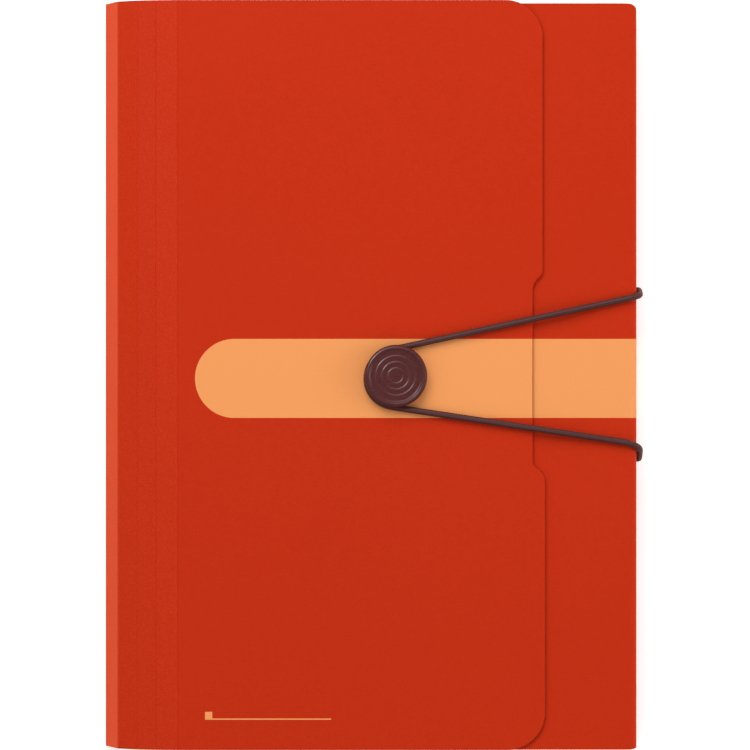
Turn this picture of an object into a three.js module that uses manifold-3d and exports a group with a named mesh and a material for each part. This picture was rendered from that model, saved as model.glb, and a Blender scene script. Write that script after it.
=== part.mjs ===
// A4 expanding file of polypropylene sheet, lying on its back with its flap closed.
// Millimetres. +X runs from the hinge to the closed strip, +Y to the top edge, +Z up from the table.
// The origin is on the table under the middle of the file with its cord.

import * as THREE from 'three';
import * as BufferGeometryUtils from 'three/addons/utils/BufferGeometryUtils.js';
import Module from 'manifold-3d';

const wasm = await Module();
wasm.setup();

// Case sheet
const CASE_WIDTH = 235.5;
const CASE_HEIGHT = 330;
const CASE_DEPTH = 28;
const SHEET = 0.8;
const FOLD_RADIUS = 3;
const CORNER_RADIUS = 4;
const FRONT_TOP_INSET = 1.3;
const MOUTH_X = -86;

// Flap: the creases are places on its outer face, as distances from the hinge and drops from its top
const FLAP_CLEARANCE = 1.2;
const CREASES = [
  { fromHinge: 6.4, drop: 11 },
  { fromHinge: 15.1, drop: 5 },
  { fromHinge: 23.4, drop: 2 },
  { fromHinge: 33.1, drop: 0 },
];
const CREASE_HALF_WIDTH = 0.45;
const CREASE_DEPTH = 0.2;
const FLAP_EDGE_UPPER = 76.15;
const FLAP_EDGE_WAIST = 71.75;
const FLAP_EDGE_LOWER = 77.25;
const FLAP_CORNER_RADIUS = 16.5;
const WAIST_TOP = 38.3;
const WAIST_BOTTOM = -39.2;
const WAIST_STEP_HEIGHT = 7.3;

// Pockets
const POCKET_COUNT = 12;
const FILM = 0.3;
const DIVIDER_STEP = 1.2;
const TAB_WIDTH = 22;
const TAB_REACH = 8;
const TAB_RADIUS = 2.5;
const TAB_SPAN = 284;

// Side gussets
const GUSSET_INSET = 3.9;
const GUSSET_FILM = 0.25;
const PLEAT_DEPTH = 12;
const PEAK_HALF = 0.5;
const VALLEY_HALF = 0.3;
const FLANGE_WIDTH = 8;

// Button
const BUTTON_X = 11.65;
const BUTTON_Y = -0.44;
const HEAD_RADIUS = 13.7;
const HEAD_HEIGHT = 2.9;
const NECK_RADIUS = 10.2;
const SHANK_RADIUS = 2.5;
const WASHER_RADIUS = 7;
const WASHER_THICKNESS = 0.8;

// Elastic cord and its stopper bars
const CORD_RADIUS = 1.3;
const CORD_FOLD_UPPER_Y = 34.6;
const CORD_FOLD_LOWER_Y = -31.6;
const CORD_HOLE_UPPER_Y = 37.5;
const CORD_HOLE_LOWER_Y = -37;
const CORD_HOLE_Z = 14;
const CORD_HOLE_RADIUS = 1.9;
const CORD_TURN_RADIUS = 2.2;
const BAR_LENGTH = 14;
const BAR_WIDTH = 5;
const BAR_THICKNESS = 2.4;
const CORD_END_INSET = 0.3;

// Clearances
const GAP = 0.3;

// Roundness
const BEND_SEGMENTS = 6;
const CORNER_SEGMENTS = 8;
const ROUND_SEGMENTS = 40;
const HOLE_SEGMENTS = 20;
const CORD_SIDES = 8;

// Places that follow from the sizes above
const HALF_WIDTH = CASE_WIDTH / 2;
const HALF_HEIGHT = CASE_HEIGHT / 2;
const HINGE_X = -HALF_WIDTH;
const STRIP_INNER_X = HALF_WIDTH - SHEET;
const INNER_BOTTOM = SHEET;
const INNER_TOP = CASE_DEPTH - SHEET;
const FLAP_TOP = CASE_DEPTH + FLAP_CLEARANCE + SHEET;
const POCKET_PITCH = (INNER_TOP - INNER_BOTTOM) / POCKET_COUNT;
const PEAK_Y = HALF_HEIGHT - GUSSET_INSET;
const GROOVE_HEIGHT = 2 * CORD_RADIUS + 2 * GAP;
const CORD_OFFSET = CORD_RADIUS + GAP;
const BORE_RADIUS = CORD_RADIUS + GAP;
const SHANK_BORE_RADIUS = SHANK_RADIUS + GAP;
const OVERHANG = CORD_OFFSET + CORD_RADIUS;

// Finishes

const orangeSheet = new THREE.MeshStandardMaterial({ color: 0xc6341c, roughness: 0.5, metalness: 0 });
const orangeFilm = new THREE.MeshStandardMaterial({ color: 0xd8451f, roughness: 0.45, metalness: 0 });
const brownMoulding = new THREE.MeshStandardMaterial({ color: 0x592f2f, roughness: 0.4, metalness: 0 });
const brownElastic = new THREE.MeshStandardMaterial({ color: 0x4a2422, roughness: 0.85, metalness: 0 });
const whiteMoulding = new THREE.MeshStandardMaterial({ color: 0xd9d6cf, roughness: 0.5, metalness: 0 });

// Solid helpers

// Turns a closed geometry into a solid that can be joined and cut.
function solidOf(geometry) {
  const bare = geometry.clone();
  bare.deleteAttribute('normal');
  bare.deleteAttribute('uv');
  const merged = BufferGeometryUtils.mergeVertices(bare, 1e-5);
  const vertProperties = new Float32Array(merged.attributes.position.array);
  const triVerts = new Uint32Array(merged.index.array);
  return new wasm.Manifold(new wasm.Mesh({ numProp: 3, vertProperties, triVerts }));
}

// Turns a cut solid back into a geometry.
function geometryOf(solid) {
  const mesh = solid.getMesh();
  const geometry = new THREE.BufferGeometry();
  geometry.setAttribute('position', new THREE.BufferAttribute(mesh.vertProperties, 3));
  geometry.setIndex(new THREE.BufferAttribute(mesh.triVerts, 1));
  geometry.computeVertexNormals();
  return geometry;
}

function extrude(shape, depth, curveSegments) {
  return new THREE.ExtrudeGeometry(shape, { depth, curveSegments, bevelEnabled: false });
}

// A section drawn in X and Z, drawn out along Y between two places.
function sectionAlongY(shape, fromY, toY, curveSegments = BEND_SEGMENTS) {
  const geometry = extrude(shape, toY - fromY, curveSegments);
  geometry.rotateX(Math.PI / 2);
  geometry.translate(0, toY, 0);
  return geometry;
}

// A plan outline drawn in X and Y, standing between two heights.
function planPrism(shape, fromZ, toZ, curveSegments = CORNER_SEGMENTS) {
  const geometry = extrude(shape, toZ - fromZ, curveSegments);
  geometry.translate(0, 0, fromZ);
  return geometry;
}

// A cylinder along X, for the holes in the strip.
function cylinderAlongX(radius, fromX, toX, y, z) {
  const geometry = new THREE.CylinderGeometry(radius, radius, toX - fromX, HOLE_SEGMENTS);
  geometry.rotateZ(Math.PI / 2);
  geometry.translate((fromX + toX) / 2, y, z);
  return geometry;
}

// Offsets an open chain of points to its right-hand side, with mitred corners.
function offsetRight(points, distance) {
  const last = points.length - 1;
  const normals = [];
  for (let i = 0; i < last; i += 1) {
    const along = points[i + 1].clone().sub(points[i]).normalize();
    normals.push(new THREE.Vector2(along.y, -along.x));
  }
  return points.map((point, i) => {
    const before = normals[Math.max(i - 1, 0)];
    const after = normals[Math.min(i, last - 1)];
    const mitre = before.clone().add(after).normalize();
    return point.clone().addScaledVector(mitre, distance / mitre.dot(after));
  });
}

// Where a taut strand from a fold crossing touches the loop round the neck; side is 1 above, -1 below.
function strandAngle(foldY, side) {
  const dx = HALF_WIDTH - BUTTON_X;
  const dy = foldY - BUTTON_Y;
  const reach = Math.hypot(dx, dy);
  return Math.atan2(dy, dx) + side * Math.acos((NECK_RADIUS + CORD_OFFSET) / reach);
}

// The two ends of the cord: where each crosses the fold, its hole in the strip, and its touch angle.
const cordEnds = [
  { name: 'upper', side: 1, foldY: CORD_FOLD_UPPER_Y, holeY: CORD_HOLE_UPPER_Y },
  { name: 'lower', side: -1, foldY: CORD_FOLD_LOWER_Y, holeY: CORD_HOLE_LOWER_Y },
].map((end) => ({ ...end, angle: strandAngle(end.foldY, end.side) }));

// Case

// Back panel, strip and front panel in one section with two rounded folds.
function caseSection() {
  const innerRadius = FOLD_RADIUS - SHEET;
  const foldX = HALF_WIDTH - FOLD_RADIUS;
  const foldTop = CASE_DEPTH - FOLD_RADIUS;
  const backEdge = hingeInnerX() + GAP;
  const shape = new THREE.Shape();
  shape.moveTo(backEdge, 0);
  shape.lineTo(foldX, 0);
  shape.absarc(foldX, FOLD_RADIUS, FOLD_RADIUS, -Math.PI / 2, 0, false);
  shape.absarc(foldX, foldTop, FOLD_RADIUS, 0, Math.PI / 2, false);
  shape.lineTo(MOUTH_X, CASE_DEPTH);
  shape.lineTo(MOUTH_X, INNER_TOP);
  shape.absarc(foldX, foldTop, innerRadius, Math.PI / 2, 0, true);
  shape.absarc(foldX, FOLD_RADIUS, innerRadius, 0, -Math.PI / 2, true);
  shape.lineTo(backEdge, INNER_BOTTOM);
  shape.closePath();
  return shape;
}

// Plan of the case, with its two outer corners rounded at the strip.
function casePlan(topY) {
  const left = HINGE_X - SHEET;
  const arcX = HALF_WIDTH - CORNER_RADIUS;
  const shape = new THREE.Shape();
  shape.moveTo(left, -HALF_HEIGHT);
  shape.lineTo(arcX, -HALF_HEIGHT);
  shape.absarc(arcX, -HALF_HEIGHT + CORNER_RADIUS, CORNER_RADIUS, -Math.PI / 2, 0, false);
  shape.absarc(arcX, topY - CORNER_RADIUS, CORNER_RADIUS, 0, Math.PI / 2, false);
  shape.lineTo(left, topY);
  shape.closePath();
  return shape;
}

function caseWrap() {
  const section = solidOf(sectionAlongY(caseSection(), -HALF_HEIGHT, HALF_HEIGHT));
  const lowerPart = solidOf(planPrism(casePlan(HALF_HEIGHT), -SHEET, CASE_DEPTH - FOLD_RADIUS));
  const frontTop = HALF_HEIGHT - FRONT_TOP_INSET;
  const upperPart = solidOf(planPrism(casePlan(frontTop), CASE_DEPTH - FOLD_RADIUS, CASE_DEPTH + SHEET));
  let solid = section.intersect(lowerPart.add(upperPart));
  for (const end of cordEnds) {
    const from = STRIP_INNER_X - SHEET;
    const to = HALF_WIDTH + SHEET;
    solid = solid.subtract(solidOf(cylinderAlongX(CORD_HOLE_RADIUS, from, to, end.holeY, CORD_HOLE_Z)));
  }
  return geometryOf(solid);
}

// Flap

// Points of the flap's outer face, from the hinge over the creases to beyond its free edge.
function flapOuterPoints() {
  const points = [new THREE.Vector2(HINGE_X, 0)];
  for (const crease of CREASES) {
    points.push(new THREE.Vector2(HINGE_X + crease.fromHinge, FLAP_TOP - crease.drop));
  }
  points.push(new THREE.Vector2(HALF_WIDTH, FLAP_TOP));
  return points;
}

// The inner face at the hinge, where the first facet is cut level with the table.
function hingeInnerX() {
  const rise = FLAP_TOP - CREASES[0].drop;
  return HINGE_X + SHEET * Math.hypot(rise, CREASES[0].fromHinge) / rise;
}

// The outer face with a shallow scored groove at each crease.
function scoredFace(points) {
  const face = [points[0]];
  for (let i = 1; i < points.length - 1; i += 1) {
    const back = points[i - 1].clone().sub(points[i]).normalize();
    const ahead = points[i + 1].clone().sub(points[i]).normalize();
    const chord = ahead.clone().sub(back).normalize();
    const inward = new THREE.Vector2(chord.y, -chord.x);
    face.push(points[i].clone().addScaledVector(back, CREASE_HALF_WIDTH));
    face.push(points[i].clone().addScaledVector(inward, CREASE_DEPTH));
    face.push(points[i].clone().addScaledVector(ahead, CREASE_HALF_WIDTH));
  }
  face.push(points[points.length - 1]);
  return face;
}

function flapSection() {
  const outer = flapOuterPoints();
  const inner = offsetRight(outer, SHEET);
  inner[0].set(hingeInnerX(), 0);
  return new THREE.Shape([...scoredFace(outer), ...inner.reverse()].reverse());
}

// Plan of the flap: rounded corners and a waist where the elastic crosses its free edge.
function flapPlan() {
  const shape = new THREE.Shape();
  const topArcX = FLAP_EDGE_UPPER - FLAP_CORNER_RADIUS;
  const lowArcX = FLAP_EDGE_LOWER - FLAP_CORNER_RADIUS;
  const arcY = HALF_HEIGHT - FLAP_CORNER_RADIUS;
  const stepHalf = WAIST_STEP_HEIGHT / 2;
  const lowStep = WAIST_BOTTOM - WAIST_STEP_HEIGHT;
  const topStep = WAIST_TOP + WAIST_STEP_HEIGHT;
  shape.moveTo(HINGE_X - SHEET, -HALF_HEIGHT);
  shape.lineTo(lowArcX, -HALF_HEIGHT);
  shape.absarc(lowArcX, -arcY, FLAP_CORNER_RADIUS, -Math.PI / 2, 0, false);
  shape.lineTo(FLAP_EDGE_LOWER, lowStep);
  shape.bezierCurveTo(
    FLAP_EDGE_LOWER, lowStep + stepHalf,
    FLAP_EDGE_WAIST, WAIST_BOTTOM - stepHalf,
    FLAP_EDGE_WAIST, WAIST_BOTTOM,
  );
  shape.lineTo(FLAP_EDGE_WAIST, WAIST_TOP);
  shape.bezierCurveTo(
    FLAP_EDGE_WAIST, WAIST_TOP + stepHalf,
    FLAP_EDGE_UPPER, topStep - stepHalf,
    FLAP_EDGE_UPPER, topStep,
  );
  shape.absarc(topArcX, arcY, FLAP_CORNER_RADIUS, 0, Math.PI / 2, false);
  shape.lineTo(HINGE_X - SHEET, HALF_HEIGHT);
  shape.closePath();
  return shape;
}

function flapSheet() {
  const section = solidOf(sectionAlongY(flapSection(), -HALF_HEIGHT - SHEET, HALF_HEIGHT + SHEET));
  const plan = solidOf(planPrism(flapPlan(), -SHEET, FLAP_TOP + SHEET));
  const drill = new THREE.CylinderGeometry(SHANK_BORE_RADIUS, SHANK_BORE_RADIUS, 4 * SHEET, HOLE_SEGMENTS);
  drill.rotateX(Math.PI / 2);
  drill.translate(BUTTON_X, BUTTON_Y, FLAP_TOP - SHEET / 2);
  return geometryOf(section.intersect(plan).subtract(solidOf(drill)));
}

// Pockets

// Height of a divider's middle plane, counted from 1 at the back.
function dividerZ(index) {
  return INNER_BOTTOM + index * POCKET_PITCH;
}

// A divider with its index tab, and notches where it would meet a stopper bar.
function dividerShape(index) {
  const count = POCKET_COUNT - 1;
  const edgeX = STRIP_INNER_X - GAP;
  const mouthX = MOUTH_X - (count - index) * DIVIDER_STEP;
  const halfY = PEAK_Y - GUSSET_FILM;
  const tabY = TAB_SPAN / 2 - TAB_WIDTH / 2 - (index - 1) * (TAB_SPAN - TAB_WIDTH) / (count - 1);
  const tabX = mouthX - TAB_REACH;
  const low = tabY - TAB_WIDTH / 2;
  const high = tabY + TAB_WIDTH / 2;
  const meetsBars = Math.abs(dividerZ(index) - CORD_HOLE_Z) < (BAR_WIDTH + FILM) / 2 + GAP;
  const notchX = STRIP_INNER_X - BAR_THICKNESS - GAP;
  const notchHalf = BAR_LENGTH / 2 + GAP;
  const shape = new THREE.Shape();
  shape.moveTo(mouthX, -halfY);
  shape.lineTo(edgeX, -halfY);
  if (meetsBars) {
    for (const end of [...cordEnds].reverse()) {
      shape.lineTo(edgeX, end.holeY - notchHalf);
      shape.lineTo(notchX, end.holeY - notchHalf);
      shape.lineTo(notchX, end.holeY + notchHalf);
      shape.lineTo(edgeX, end.holeY + notchHalf);
    }
  }
  shape.lineTo(edgeX, halfY);
  shape.lineTo(mouthX, halfY);
  shape.lineTo(mouthX, high);
  shape.absarc(tabX + TAB_RADIUS, high - TAB_RADIUS, TAB_RADIUS, Math.PI / 2, Math.PI, false);
  shape.absarc(tabX + TAB_RADIUS, low + TAB_RADIUS, TAB_RADIUS, Math.PI, 1.5 * Math.PI, false);
  shape.lineTo(mouthX, low);
  shape.closePath();
  return shape;
}

function pocketDivider(index) {
  const z = dividerZ(index);
  return planPrism(dividerShape(index), z - FILM / 2, z + FILM / 2, 4);
}

// Middle line of one gusset's pleats in Y and Z: an outward peak at every sheet, a valley in every pocket.
function pleatLine() {
  const half = GUSSET_FILM / 2;
  const peak = PEAK_Y - half;
  const valley = peak - PLEAT_DEPTH;
  const flangeY = peak - FLANGE_WIDTH;
  const points = [
    new THREE.Vector2(flangeY, INNER_BOTTOM + half),
    new THREE.Vector2(peak, INNER_BOTTOM + half),
  ];
  for (let i = 0; i < POCKET_COUNT; i += 1) {
    const base = INNER_BOTTOM + i * POCKET_PITCH;
    const middle = base + POCKET_PITCH / 2;
    points.push(new THREE.Vector2(peak, base + PEAK_HALF));
    points.push(new THREE.Vector2(valley, middle - VALLEY_HALF));
    points.push(new THREE.Vector2(valley, middle + VALLEY_HALF));
    points.push(new THREE.Vector2(peak, base + POCKET_PITCH - PEAK_HALF));
  }
  points.push(new THREE.Vector2(peak, INNER_TOP - half));
  points.push(new THREE.Vector2(flangeY, INNER_TOP - half));
  return points;
}

// A gusset runs from the mouth to just short of the folds; side is 1 at the top end, -1 at the bottom end.
function sideGusset(side) {
  const line = pleatLine();
  const outer = offsetRight(line, GUSSET_FILM / 2);
  const inner = offsetRight(line, -GUSSET_FILM / 2);
  const outline = [...outer, ...inner.reverse()].map((point) => new THREE.Vector2(side * point.x, point.y));
  const endX = HALF_WIDTH - FOLD_RADIUS - GAP;
  const geometry = extrude(new THREE.Shape(outline), endX - MOUTH_X, 1);
  geometry.rotateX(Math.PI / 2);
  geometry.rotateZ(Math.PI / 2);
  geometry.translate(MOUTH_X, 0, 0);
  return geometry;
}

// Button

// Half section of the button: shank, neck, head with a raised rim, and plain rings in its dish.
function button() {
  const neckTop = FLAP_TOP + GROOVE_HEIGHT;
  const rimTop = neckTop + HEAD_HEIGHT;
  const points = [
    [0, FLAP_TOP - SHEET - WASHER_THICKNESS],
    [SHANK_RADIUS, FLAP_TOP - SHEET - WASHER_THICKNESS],
    [SHANK_RADIUS, FLAP_TOP],
    [NECK_RADIUS, FLAP_TOP],
    [NECK_RADIUS, neckTop],
    [HEAD_RADIUS - 0.6, neckTop],
    [HEAD_RADIUS, neckTop + 0.6],
    [HEAD_RADIUS, rimTop - 1.1],
    [HEAD_RADIUS - 0.35, rimTop - 0.35],
    [HEAD_RADIUS - 1.1, rimTop],
    [HEAD_RADIUS - 1.9, rimTop - 0.25],
    [HEAD_RADIUS - 2.5, rimTop - 0.9],
  ];
  const dish = rimTop - 0.9;
  for (const ring of [8.6, 5.6, 2.6]) {
    points.push([ring + 0.7, dish]);
    points.push([ring + 0.25, dish + 0.35]);
    points.push([ring - 0.25, dish + 0.35]);
    points.push([ring - 0.7, dish]);
  }
  points.push([0, dish]);
  const profile = points.map(([radius, height]) => new THREE.Vector2(radius, height));
  const geometry = new THREE.LatheGeometry(profile, ROUND_SEGMENTS);
  geometry.rotateX(Math.PI / 2);
  return geometry;
}

function rivetWasher() {
  const top = FLAP_TOP - SHEET;
  const bottom = top - WASHER_THICKNESS;
  const chamfer = WASHER_THICKNESS / 3;
  const points = [
    new THREE.Vector2(SHANK_BORE_RADIUS, bottom),
    new THREE.Vector2(WASHER_RADIUS - chamfer, bottom),
    new THREE.Vector2(WASHER_RADIUS, bottom + chamfer),
    new THREE.Vector2(WASHER_RADIUS, top),
    new THREE.Vector2(SHANK_BORE_RADIUS, top),
    new THREE.Vector2(SHANK_BORE_RADIUS, bottom),
  ];
  const geometry = new THREE.LatheGeometry(points, ROUND_SEGMENTS);
  geometry.rotateX(Math.PI / 2);
  return geometry;
}

// Elastic

// A smooth line through chosen points, stepped evenly from point to point.
class CordLine extends THREE.CatmullRomCurve3 {
  getPointAt(u, target) {
    return this.getPoint(u, target);
  }

  getTangentAt(u, target) {
    return this.getTangent(u, target);
  }
}

// Points of one end, from inside its stopper bar out to the place where the strand reaches the loop.
function strandPoints(end) {
  const slope = Math.tan(end.angle - end.side * Math.PI / 2);
  const stripX = HALF_WIDTH + CORD_OFFSET;
  const turnX = stripX - CORD_TURN_RADIUS;
  const turnZ = CORD_HOLE_Z + CORD_TURN_RADIUS;
  const foldX = HALF_WIDTH - FOLD_RADIUS;
  const foldZ = CASE_DEPTH - FOLD_RADIUS;
  const foldTurn = FOLD_RADIUS + CORD_OFFSET;
  const foldStartY = end.foldY - slope * FOLD_RADIUS;
  const travel = foldTurn * Math.PI / 2 + foldZ - turnZ;
  const slide = (end.holeY - foldStartY) / travel;
  const points = [
    new THREE.Vector3(STRIP_INNER_X - BAR_THICKNESS + CORD_END_INSET, end.holeY, CORD_HOLE_Z),
    new THREE.Vector3(STRIP_INNER_X - BAR_THICKNESS / 2, end.holeY, CORD_HOLE_Z),
  ];
  for (const degrees of [90, 60, 30, 0]) {
    const turn = THREE.MathUtils.degToRad(degrees);
    const x = turnX + CORD_TURN_RADIUS * Math.cos(turn);
    points.push(new THREE.Vector3(x, end.holeY, turnZ - CORD_TURN_RADIUS * Math.sin(turn)));
  }
  const stripZ = (turnZ + foldZ) / 2;
  points.push(new THREE.Vector3(stripX, end.holeY - slide * (stripZ - turnZ), stripZ));
  for (const degrees of [0, 22, 45, 68, 90]) {
    const turn = THREE.MathUtils.degToRad(degrees);
    const x = foldX + foldTurn * Math.cos(turn);
    const y = foldStartY + slide * foldTurn * (Math.PI / 2 - turn);
    points.push(new THREE.Vector3(x, y, foldZ + foldTurn * Math.sin(turn)));
  }
  const touch = new THREE.Vector3(
    BUTTON_X + (NECK_RADIUS + CORD_OFFSET) * Math.cos(end.angle),
    BUTTON_Y + (NECK_RADIUS + CORD_OFFSET) * Math.sin(end.angle),
    FLAP_TOP + CORD_OFFSET,
  );
  const run = points[points.length - 1].clone();
  const ramp = [0.08, 0.5, 0.92].map((share) => {
    const x = THREE.MathUtils.lerp(run.x, FLAP_EDGE_LOWER + CORD_OFFSET, share);
    const z = THREE.MathUtils.lerp(run.z, touch.z, share);
    return new THREE.Vector3(x, 0, z);
  });
  const level = [0, 0.25, 0.6, 0.9].map((share) => {
    const x = THREE.MathUtils.lerp(FLAP_EDGE_WAIST - CORD_RADIUS, touch.x, share);
    return new THREE.Vector3(x, 0, touch.z);
  });
  for (const point of [...ramp, ...level]) {
    point.y = run.y + (touch.y - run.y) * (point.x - run.x) / (touch.x - run.x);
    points.push(point);
  }
  return points;
}

function elasticCord() {
  const [upper, lower] = cordEnds;
  const points = strandPoints(upper);
  const loopSteps = 12;
  const sweep = 2 * Math.PI + lower.angle - upper.angle;
  for (let i = 0; i <= loopSteps; i += 1) {
    const angle = upper.angle + sweep * i / loopSteps;
    points.push(new THREE.Vector3(
      BUTTON_X + (NECK_RADIUS + CORD_OFFSET) * Math.cos(angle),
      BUTTON_Y + (NECK_RADIUS + CORD_OFFSET) * Math.sin(angle),
      FLAP_TOP + CORD_OFFSET,
    ));
  }
  points.push(...strandPoints(lower).reverse());
  const line = new CordLine(points, false, 'centripetal');
  const section = new THREE.Shape();
  for (let i = 0; i < CORD_SIDES; i += 1) {
    const angle = 2 * Math.PI * (i + 0.5) / CORD_SIDES;
    const corner = [CORD_RADIUS * Math.cos(angle), CORD_RADIUS * Math.sin(angle)];
    if (i === 0) section.moveTo(...corner);
    else section.lineTo(...corner);
  }
  section.closePath();
  const steps = 2 * (points.length - 1);
  return new THREE.ExtrudeGeometry(section, { steps, extrudePath: line, bevelEnabled: false });
}

// A flat stopper bar with round ends; the cord's end sits in its bore.
function stopperBar(end) {
  const round = BAR_WIDTH / 2;
  const straight = BAR_LENGTH / 2 - round;
  const shape = new THREE.Shape();
  shape.absarc(end.holeY + straight, CORD_HOLE_Z, round, -Math.PI / 2, Math.PI / 2, false);
  shape.absarc(end.holeY - straight, CORD_HOLE_Z, round, Math.PI / 2, 1.5 * Math.PI, false);
  shape.closePath();
  const bore = new THREE.Path();
  bore.absarc(end.holeY, CORD_HOLE_Z, BORE_RADIUS, 0, 2 * Math.PI, true);
  shape.holes.push(bore);
  const geometry = extrude(shape, BAR_THICKNESS, CORNER_SEGMENTS);
  geometry.rotateX(Math.PI / 2);
  geometry.rotateZ(Math.PI / 2);
  geometry.translate(STRIP_INNER_X - BAR_THICKNESS, 0, 0);
  return geometry;
}

// Assembly

const expandingFile = new THREE.Group();
expandingFile.position.x = -OVERHANG / 2;

function place(name, geometry, material, parent = expandingFile) {
  const mesh = new THREE.Mesh(geometry, material);
  mesh.name = name;
  parent.add(mesh);
  return mesh;
}

place('case_wrap', caseWrap(), orangeSheet);
place('flap_sheet', flapSheet(), orangeSheet);

for (let index = 1; index < POCKET_COUNT; index += 1) {
  place(`pocket_divider_${String(index).padStart(2, '0')}`, pocketDivider(index), orangeFilm);
}

place('side_gusset_top', sideGusset(1), orangeFilm);
place('side_gusset_bottom', sideGusset(-1), orangeFilm);

const buttonGroup = new THREE.Group();
buttonGroup.position.set(BUTTON_X, BUTTON_Y, 0);
expandingFile.add(buttonGroup);
place('closure_button', button(), brownMoulding, buttonGroup);
place('rivet_washer', rivetWasher(), brownMoulding, buttonGroup);

place('elastic_cord', elasticCord(), brownElastic);
for (const end of cordEnds) {
  place(`stopper_bar_${end.name}`, stopperBar(end), whiteMoulding);
}

export default expandingFile;
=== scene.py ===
"""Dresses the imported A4 expanding file and sets it on a pale table under soft studio light."""

import logging
import math
from dataclasses import dataclass
from enum import Enum
from typing import Any, Sequence

import bpy
import numpy as np
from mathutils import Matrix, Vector


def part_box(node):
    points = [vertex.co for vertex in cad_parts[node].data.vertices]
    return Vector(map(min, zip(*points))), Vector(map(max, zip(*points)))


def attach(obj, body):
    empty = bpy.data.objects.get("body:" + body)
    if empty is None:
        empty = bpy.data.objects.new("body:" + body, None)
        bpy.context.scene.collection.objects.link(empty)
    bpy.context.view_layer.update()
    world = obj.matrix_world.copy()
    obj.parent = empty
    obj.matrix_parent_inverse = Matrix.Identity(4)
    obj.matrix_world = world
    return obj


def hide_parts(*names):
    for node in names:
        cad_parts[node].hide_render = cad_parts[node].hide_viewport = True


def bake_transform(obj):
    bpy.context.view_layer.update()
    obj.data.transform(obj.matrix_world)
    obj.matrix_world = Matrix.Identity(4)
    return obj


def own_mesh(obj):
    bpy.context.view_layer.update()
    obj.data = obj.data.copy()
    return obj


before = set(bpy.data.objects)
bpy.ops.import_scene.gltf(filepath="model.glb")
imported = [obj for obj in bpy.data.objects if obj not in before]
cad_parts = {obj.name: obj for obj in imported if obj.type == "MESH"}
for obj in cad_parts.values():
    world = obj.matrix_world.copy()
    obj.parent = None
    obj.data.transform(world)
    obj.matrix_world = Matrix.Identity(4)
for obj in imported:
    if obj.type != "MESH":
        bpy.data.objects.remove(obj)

log = logging.getLogger("expanding_file")

MM = 0.001
REST = "rest_mm"
BRAID = "braid"
FILE_BODY = "file_body"
FLAP_BODY = "flap"
DIVIDER_PREFIX = "pocket_divider_"
# Share of a sheet's thickness over which each side of its cut edge rounds.
CUT_ROUND = 0.2


# Numbers and colours


def linear(hex_colour: str) -> tuple[float, float, float, float]:
    """Turns an sRGB hex colour into the linear colour that a shader takes.

    Args:
        hex_colour: Six hex digits, red first.

    Returns:
        Linear red, green, blue and an alpha of one.
    """
    channels = []
    for start in (0, 2, 4):
        value = int(hex_colour[start : start + 2], 16) / 255
        channels.append(value / 12.92 if value <= 0.04045 else ((value + 0.055) / 1.055) ** 2.4)
    return (*channels, 1.0)


def smooth(values: np.ndarray | float, low: float, high: float) -> Any:
    """Rises smoothly from zero at low to one at high.

    Args:
        values: The numbers to map.
        low: Where the rise starts.
        high: Where it ends.

    Returns:
        The mapped numbers.
    """
    share = np.clip((values - low) / (high - low), 0.0, 1.0)
    return share * share * (3 - 2 * share)


def spaced(low: float, high: float, step: float) -> np.ndarray:
    """Places evenly spaced numbers from low to high.

    Args:
        low: The first number.
        high: The last number.
        step: The widest spacing allowed.

    Returns:
        The numbers, both ends included.
    """
    return np.linspace(low, high, max(2, math.ceil(abs(high - low) / step) + 1))


def ripple(x: np.ndarray, y: np.ndarray, seed: float) -> np.ndarray:
    """Gives a slow, uneven wave between about minus one and one, as on a sheet that isn't quite flat.

    Args:
        x: Places across the sheet in mm.
        y: Places along the sheet in mm.
        seed: Shifts the wave, so that no two sheets are alike.

    Returns:
        The height of the wave at each place.
    """
    long_wave = np.sin(x / 37 + 1.7 * seed) * np.cos(y / 52 - 0.9 * seed)
    cross_wave = np.sin((x + y) / 61 + 2.3 * seed)
    short_wave = np.sin(x / 19 - 0.4 * seed) * np.sin(y / 23 + 1.1 * seed)
    return 0.5 * long_wave + 0.3 * cross_wave + 0.2 * short_wave


# Meshes


def box_mm(node: str) -> tuple[Vector, Vector]:
    """Reads a node's box from the frame.

    Args:
        node: The node's name.

    Returns:
        Its lowest and highest corners in mm.
    """
    low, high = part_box(node)
    return Vector(low) / MM, Vector(high) / MM


def store_rest(mesh: bpy.types.Mesh) -> None:
    """Stores each vertex's place at rest in mm, so that a pattern stays on the sheet as it bends.

    Args:
        mesh: The mesh to mark.
    """
    places = np.array([v.co for v in mesh.vertices], np.float32) / MM
    old = mesh.attributes.get(REST)
    if old is not None:
        mesh.attributes.remove(old)
    mesh.attributes.new(REST, "FLOAT_VECTOR", "POINT").data.foreach_set("vector", places.ravel())


def mesh_object(
    name: str,
    points_mm: np.ndarray,
    faces: Sequence[Sequence[int]],
    finishes: Sequence[bpy.types.Material],
    kinds: Sequence[int] | None = None,
    sharp_degrees: float = 40.0,
) -> bpy.types.Object:
    """Makes an object from points and faces.

    Args:
        name: The piece's name.
        points_mm: Its points in mm.
        faces: Its faces, wound to face out.
        finishes: Its materials.
        kinds: For each face, which of the materials it takes.
        sharp_degrees: Edges that turn more than this stay sharp.

    Returns:
        The new object, in the scene.
    """
    mesh = bpy.data.meshes.new(name)
    mesh.from_pydata((points_mm * MM).tolist(), [], [tuple(map(int, f)) for f in faces])
    for finish in finishes:
        mesh.materials.append(finish)
    if kinds is not None:
        mesh.polygons.foreach_set("material_index", np.asarray(kinds, np.int32))
    mesh.shade_smooth()
    mesh.set_sharp_from_angle(angle=math.radians(sharp_degrees))
    mesh.validate()
    store_rest(mesh)
    piece = bpy.data.objects.new(name, mesh)
    bpy.context.scene.collection.objects.link(piece)
    return piece


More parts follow.
